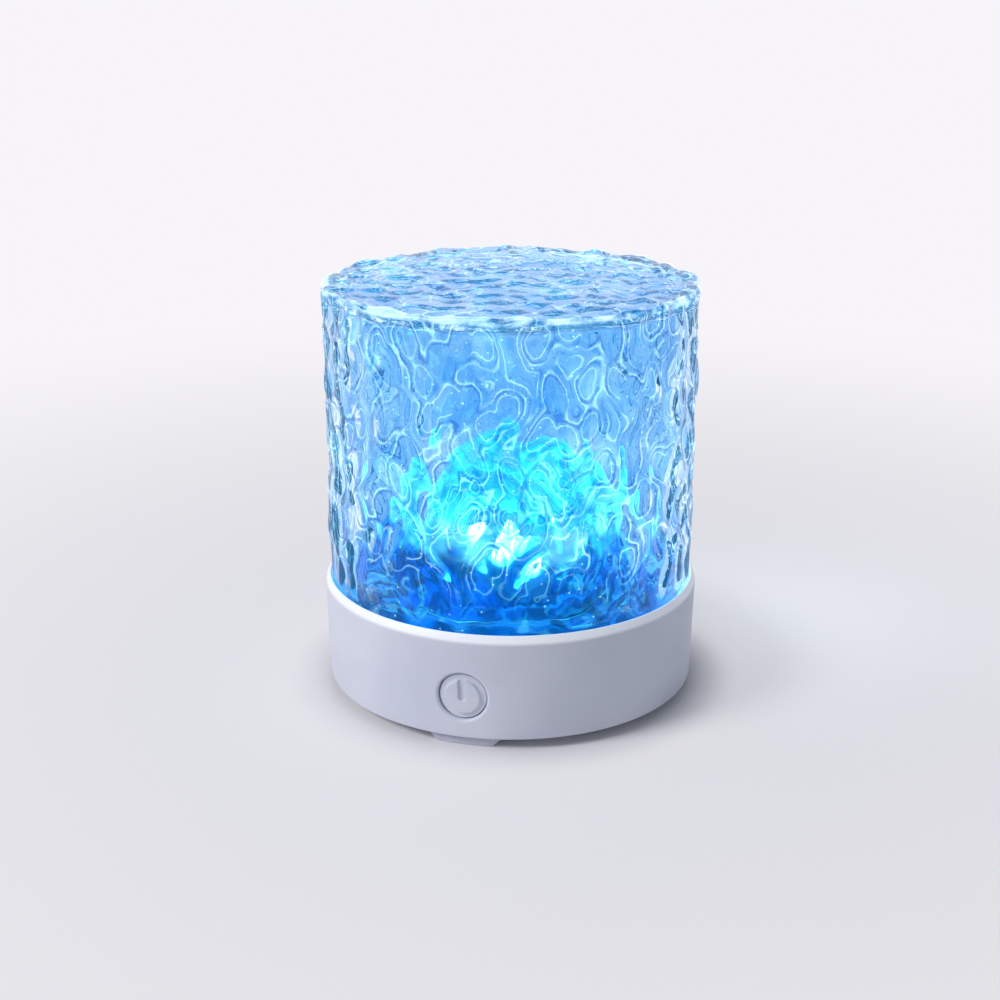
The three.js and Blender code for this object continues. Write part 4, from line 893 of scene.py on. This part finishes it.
def make_base_shell():
    outside, over, inside = shell_section()
    section = outside + over + inside
    points, _ = turned(section, WALL_COLUMNS)
    grid = [list(range(k * WALL_COLUMNS, (k + 1) * WALL_COLUMNS)) for k in range(len(section))]
    outer_start = len(outside) - WALL_ROWS - 1
    inner_start = len(outside) + len(over)
    outer_rows = grid[outer_start : len(outside)]
    inner_rows = grid[inner_start : inner_start + WALL_ROWS + 1][::-1]

    openings = []
    left_out = set()
    for height, reach, side, half_rows, half_columns in (
        (BUTTON_HEIGHT, button_opening, -1, 8.6, 10),
        (SOCKET_HEIGHT, socket_opening, 1, 4.3, 9),
    ):
        middle_row = (height - WALL_LOW) / WALL_STEP
        middle_column = 0 if side < 0 else WALL_COLUMNS // 2
        low = max(0, round(middle_row - half_rows))
        high = min(WALL_ROWS, round(middle_row + half_rows))
        first = middle_column - half_columns
        last = middle_column + half_columns
        openings.append((height, reach, side, (low, high, first, last)))
        left_out |= {(r, c % WALL_COLUMNS) for r in range(low, high) for c in range(first, last)}

    faces = []
    for k, (here, there) in enumerate(zip(grid, grid[1:] + grid[:1])):
        outer_row = k - outer_start
        inner_row = WALL_ROWS - 1 - (k - inner_start)
        for i in range(WALL_COLUMNS):
            if (outer_row, i) not in left_out and (inner_row, i) not in left_out:
                j = (i + 1) % WALL_COLUMNS
                faces.append([here[i], here[j], there[j], there[i]])

    for height, reach, side, block in openings:
        outer_loop = block_loop(outer_rows, *block)
        inner_loop = block_loop(inner_rows, *block)
        spots = [(points[i][0], points[i][2] - height) for i in outer_loop]
        inner_spots = [(points[i][0], points[i][2] - height) for i in inner_loop]
        turns = [math.atan2(v, u) for u, v in spots]
        spans = [math.hypot(u, v) for u, v in spots]
        inner_spans = [math.hypot(u, v) for u, v in inner_spots]
        edges = [reach(turn) for turn in turns]

        def add_loop(radius_at, new_spans, depth=0):
            """Adds a loop of points on a wall, at these distances from the opening's middle."""
            start = len(points)
            for turn, span in zip(turns, new_spans):
                x, z = span * math.cos(turn), height + span * math.sin(turn)
                points.append((x, side * (math.sqrt(radius_at(z) ** 2 - x**2) - depth), z))
            return list(range(start, len(points)))

        loops = [outer_loop]
        for share in (0.25, 0.5, 0.75, 0.92):
            now = [span + (edge + LIP - span) * share for span, edge in zip(spans, edges)]
            loops.append(add_loop(wall_radius, now))
        for i in range(7):
            a = math.pi / 2 * i / 6
            now = [edge + LIP * (1 - math.sin(a)) for edge in edges]
            loops.append(add_loop(wall_radius, now, LIP * (1 - math.cos(a))))
        for share in (0.0, 0.35, 0.7):
            now = [edge + (span - edge) * share for span, edge in zip(inner_spans, edges)]
            loops.append(add_loop(lambda z: INNER_RADIUS, now))
        faces += bands(loops + [inner_loop])
    return piece("base_ring", points, faces, abs_finish, "root", ["base_shell"], crease=40)


# Button

BUTTON_RADIUS = 5.9
FLANGE_RADIUS = 7.1
STEM_RADIUS = 2.2


def button_depth(x, z):
    """How deep the button's face lies under the wall's face: a raised middle cut by a bar, and a low ring."""
    away = math.hypot(x, z)
    ring = smooth_step(away, 4.15, 4.5)
    bar = 1 - smooth_step(math.hypot(x, max(0, -z)), 0.92, 1.12)
    rounding = smooth_step(away, BUTTON_RADIUS - 0.35, BUTTON_RADIUS) ** 2
    return 0.12 + 0.73 * max(ring, bar) + 0.5 * rounding


def make_button():
    """Its face follows the base's wall. Behind are a flange that keeps it in, and a stem to the switch."""

    def face_point(radius, angle):
        x, z = radius * math.cos(angle), radius * math.sin(angle)
        wall = wall_radius(BUTTON_HEIGHT + z)
        return (x, -(math.sqrt(wall**2 - x**2) - button_depth(x, z)), BUTTON_HEIGHT + z)

    angles = round_angles(240)
    radii = [0.1 * i for i in range(1, 42)] + [4.12 + 0.06 * i for i in range(29)] + [BUTTON_RADIUS]
    loops = [[face_point(radius, a) for a in angles] for radius in radii]
    front = -(math.sqrt(INNER_RADIUS**2 - FLANGE_RADIUS**2) - 0.3)
    back = front + 1.2
    for radius, y in (
        (BUTTON_RADIUS, front), (FLANGE_RADIUS - 0.1, front), (FLANGE_RADIUS, front + 0.1),
        (FLANGE_RADIUS, back - 0.1), (FLANGE_RADIUS - 0.1, back), (STEM_RADIUS, back),
        (STEM_RADIUS - 0.2, back + 0.2), (STEM_RADIUS - 0.2, back + 1.3), (STEM_RADIUS - 0.4, back + 1.5),
    ):
        loops.append([(radius * math.cos(a), y, BUTTON_HEIGHT + radius * math.sin(a)) for a in angles])
    points, faces = skinned(loops, face_point(0, 0))
    return piece("button_face", points, faces, abs_finish, "button", ["power_button"], crease=50)


# Screws

HEAD_RADIUS = 2.4
HEAD_HEIGHT = 1.3
SHANK_RADIUS = 1.25
ARM_LENGTH = 1.25
ARM_WIDTH = 0.33


def make_screw(node, is_upside_down=False):
    """A pan-head screw with a cross recess, its shank's end pointed a little."""
    low, high = corners_of(node)
    x, y = (low.x + high.x) / 2, (low.y + high.y) / 2
    length = high.z - low.z - HEAD_HEIGHT

    def head(radius, angle):
        u, v = radius * math.cos(angle), radius * math.sin(angle)
        dome = HEAD_HEIGHT - 0.85 * (radius / HEAD_RADIUS) ** 3
        along_x = max(abs(u) / ARM_LENGTH, abs(v) / ARM_WIDTH)
        along_y = max(abs(u) / ARM_WIDTH, abs(v) / ARM_LENGTH)
        recess = 0.75 * (1 - smooth_step(min(along_x, along_y), 0.85, 1.15))
        return (u, v, dome - recess)

    angles = round_angles(48)
    radii = [0.12 * i for i in range(1, 17)] + [2.05, 2.2, HEAD_RADIUS - 0.08, HEAD_RADIUS]
    loops = [[head(radius, a) for a in angles] for radius in radii]
    for radius, z in (
        (HEAD_RADIUS, 0.1), (HEAD_RADIUS - 0.08, 0), (SHANK_RADIUS, 0), (SHANK_RADIUS, 0.6 - length),
        (0.8, -length),
    ):
        loops.append([(radius * math.cos(a), radius * math.sin(a), z) for a in angles])
    points, faces = skinned(loops, head(0, 0))
    turn = -1 if is_upside_down else 1
    seat = low.z + HEAD_HEIGHT if is_upside_down else high.z - HEAD_HEIGHT
    placed = [(x + u, y + v * turn, seat + w * turn) for u, v, w in points]
    return piece(node + "_piece", placed, faces, steel_finish, body_of_node[node], [node])


# LEDs

LED_HALF = 2.5
LED_BODY = 1.6
BEAD_RADIUS = 2.1


def make_led(node):
    """A square body with rounded corners, a reflector rim and a round bead."""
    low, high = corners_of(node)
    x, y, z = (low.x + high.x) / 2, (low.y + high.y) / 2, low.z
    angles = round_angles(64)

    def square(half, height):
        made = []
        for a in angles:
            c, s = math.cos(a), math.sin(a)
            reach = half / (abs(c) ** 9 + abs(s) ** 9) ** (1 / 9)
            made.append((x + reach * c, y + reach * s, z + height))
        return made

    def ring(radius, height):
        return [(x + radius * math.cos(a), y + radius * math.sin(a), z + height) for a in angles]

    loops = [square(LED_HALF, 0), square(LED_HALF, LED_BODY - 0.1), square(LED_HALF - 0.12, LED_BODY)]
    loops += [ring(BEAD_RADIUS + 0.15, LED_BODY), ring(BEAD_RADIUS, LED_BODY - 0.1)]
    for t in np.linspace(0.05, 1.5, 12):
        loops.append(ring(BEAD_RADIUS * math.cos(t), LED_BODY + BEAD_RADIUS * math.sin(t)))
    points, faces = skinned(loops)
    return piece(node + "_piece", points, faces, resin_finish, body_of_node[node], [node])


# Wires

LEAD_RADIUS = 0.6
PLUG_X = -8.5
PLUG_TOP = 11.5


def make_motor_lead(node, side):
    """A lead from the motor's back to its plug on the board, on one side of the other lead."""
    start_y = side * 2.5
    x = PLUG_X + side * 1.2
    route = [(6.9, start_y, 16.2), (5.1, start_y, 16.2), ((6.9 + x) / 2, (start_y + 17) / 2, 14.6)]
    route += [(x, 17, 15.8), (x, 17, 13.4), (x, 17, PLUG_TOP)]
    section = [(LEAD_RADIUS * math.cos(a), LEAD_RADIUS * math.sin(a)) for a in round_angles(16)]
    points, faces = swept(route, section, 10)
    piece(node + "_piece", points, faces, finish_of_slot[slot_of_node[node]], "root", [node])


def make_flat_cable():
    """Four cores side by side, from the LED board through the deck to the plug on the main board."""
    cores = [-1.65 + 1.1 * i for i in range(4)]
    section = []
    for side in (1, -1):
        for middle in cores[::side]:
            for a in (-0.9, -0.45, 0, 0.45, 0.9):
                section.append((middle + side * 0.6 * math.sin(a), side * 0.52 * math.cos(a)))
    route = [(0, 0, 30.3), (0, 0, DECK_TOP), (0, 0, 20.9), (-4.25, 0, 18.3)]
    route += [(PLUG_X, 0, 15.7), (PLUG_X, 0, 13.5), (PLUG_X, 0, PLUG_TOP)]
    points, faces = swept(route, section, 10)
    piece("flat_cable", points, faces, ribbon_finish, "root", ["led_ribbon"])


# All pieces

SOFTENED = {
    "deck_plate": 0.25,
    "bottom_cover": 0.3,
    "foot_front": 0.35,
    "foot_right": 0.35,
    "foot_left": 0.35,
    "retainer_1": 0.3,
    "retainer_2": 0.3,
    "retainer_3": 0.3,
    "ring_gear": 0.12,
    "pinion": 0.1,
    "motor_can": 0.4,
    "motor_plate": 0.15,
    "led_board": 0.12,
    "main_board": 0.12,
    "controller_chip": 0.15,
    "led_connector": 0.12,
    "motor_connector": 0.12,
    "power_switch": 0.2,
    "switch_plunger": 0.25,
    "motor_shaft": 0.2,
    "capacitor": 0.15,
    "usb_socket": 0.08,
}


def make_cup():
    """A bowl that widens to its rim, with a recess for the LED board and a hole for its cable."""
    foot, rim, recess, hole = 10.5, 14.45, 12.7, 3.5
    swing = np.linspace(0.02, math.pi / 2 - 0.03, 22)
    bowl = [(10.6 + 4.0 * math.sin(a), CUP_TOP - 9.2 * math.cos(a)) for a in swing]
    corners = [(hole, DECK_TOP), (foot, DECK_TOP)] + bowl
    corners += [(rim, CUP_TOP), (recess, CUP_TOP), (recess, LED_BOARD_BOTTOM), (hole, LED_BOARD_BOTTOM)]
    edges = [0.2, 0.2] + [0.01] * len(bowl) + [0.3, 0.3, 0.1, 0.2]
    lathe("glossy_cup", corners, edges, blue_finish, "root", ["lamp_cup"], 160)


def make_pieces():
    make_shade()
    make_dome()
    make_base_shell()
    make_button()
    lathe(
        "gasket_ring",
        [(43.2, DECK_TOP), (45.8, DECK_TOP), (45.8, SKIRT_BOTTOM), (43.2, SKIRT_BOTTOM)],
        0.2, silicone_finish, "root", ["shade_gasket"], 192,
    )
    lathe(
        "slip_washer",
        [(30.9, DECK_TOP), (34.6, DECK_TOP), (34.6, 24.7), (30.9, 24.7)],
        0.15, nylon_finish, "root", ["slip_ring"], 160,
    )
    make_cup()
    for node, edge in SOFTENED.items():
        softened(node, edge, steps=3 if node.startswith("foot_") else 2)
    for node in slot_of_node:
        if "_screw_" in node:
            make_screw(node, is_upside_down=node.startswith(("cover", "motor", "cup")))
    for i in (1, 2, 3, 4):
        make_led(f"led_{i}")
    make_motor_lead("motor_lead_red", 1)
    make_motor_lead("motor_lead_black", -1)
    make_flat_cable()


# Camera, lights and surroundings, in metres

PALE = (0.93, 0.91, 0.95)
OVERHEAD = (0.36, 0.49, 0.76)
STUDIO = (0.84, 0.90, 1.0)
STUDIO_STRENGTH = 0.31
LIT_POINT = Vector((0, 0, 0.05))


def make_camera():
    azimuth = math.radians(14.4)
    pitch = math.radians(18.80)
    away = 0.4018
    height = 0.18406
    aside = -0.00273
    camera = bpy.data.objects.new("camera", bpy.data.cameras.new("camera"))
    camera.data.lens = 59.21
    camera.data.sensor_width = 36
    right = Vector((math.cos(azimuth), math.sin(azimuth), 0))
    camera.location = Vector((math.sin(azimuth) * away, -math.cos(azimuth) * away, height)) + right * aside
    camera.rotation_euler = (math.pi / 2 - pitch, 0, azimuth)
    bpy.context.scene.collection.objects.link(camera)
    bpy.context.scene.camera = camera


def make_light(name, place, size, power, colour):
    """A round soft light that points at the lamp."""
    light = bpy.data.lights.new(name, "AREA")
    light.shape = "DISK"
    light.size = size
    light.energy = power
    light.color = colour
    made = bpy.data.objects.new(name, light)
    made.location = place
    made.rotation_euler = (LIT_POINT - Vector(place)).to_track_quat("-Z", "Y").to_euler()
    bpy.context.scene.collection.objects.link(made)


def make_world():
    """Soft light from all round. The camera and the clear walls see a pale backdrop, bluer overhead."""
    world = bpy.data.worlds.new("studio")
    world.use_nodes = True
    bpy.context.scene.world = world
    w = Nodes(world.node_tree)
    direction = w.node("ShaderNodeTexCoord", output="Generated")
    height = w.node("ShaderNodeSeparateXYZ", None, {0: direction}, "Z")
    backdrop = w.blend(PALE, OVERHEAD, height.over(0.30, 0.85))
    soft = w.node("ShaderNodeBackground", None, {0: STUDIO, 1: STUDIO_STRENGTH})
    pale = w.node("ShaderNodeBackground", None, {0: backdrop, 1: 1.0})
    shown = w.ray("Camera").most(w.ray("Glossy")).most(w.ray("Transmission"))
    w.node("ShaderNodeOutputWorld", None, {0: w.mixed(soft, pale, shown)})


def make_floor():
    """A pale table that keeps the lamp's shadow near the lamp, and is the backdrop's colour far from it.

    Its sizes are in millimetres.
    """
    f = Finish("pale_table", None)
    color = f.blend((0.90, 0.89, 0.90), (0.92, 0.91, 0.92), f.grain(60, 2))
    lit = f.surface(color, 0.6, specular_ior_level=0.2)
    pale = f.node("ShaderNodeEmission", None, {"Color": PALE, "Strength": 1.0})
    away = f.distance(f.place)
    open_table = 0.5 * away.over(46, 61) + 0.5 * away.over(50, 450)
    shown = f.ray("Camera").most(f.ray("Glossy")) * open_table
    f.done(f.mixed(lit, pale, shown.most(f.ray("Transmission"))))
    points, faces = turned([(0, 0), (400, 0), (6000, 0), (6000, -5), (0, -5)], 96)
    mesh = bpy.data.meshes.new("table")
    mesh.from_pydata([(x * MM, y * MM, z * MM) for x, y, z in points], [], faces)
    mesh.materials.append(f.material)
    floor = bpy.data.objects.new("table", mesh)
    bpy.context.scene.collection.objects.link(floor)


make_pieces()
for node, made in frame["nodes"].items():
    made.data.materials.clear()
    made.data.materials.append(finish_of_slot[slot_of_node[node]].material)
make_camera()
make_light("key", (-0.98, -0.80, 1.0), 0.6, 13.2, (1.0, 0.99, 0.98))
make_light("fill", (0.9, -0.6, 0.7), 0.9, 0.12, (0.80, 0.88, 1.0))
make_world()
make_floor()
bpy.context.scene.view_settings.view_transform = "Standard"
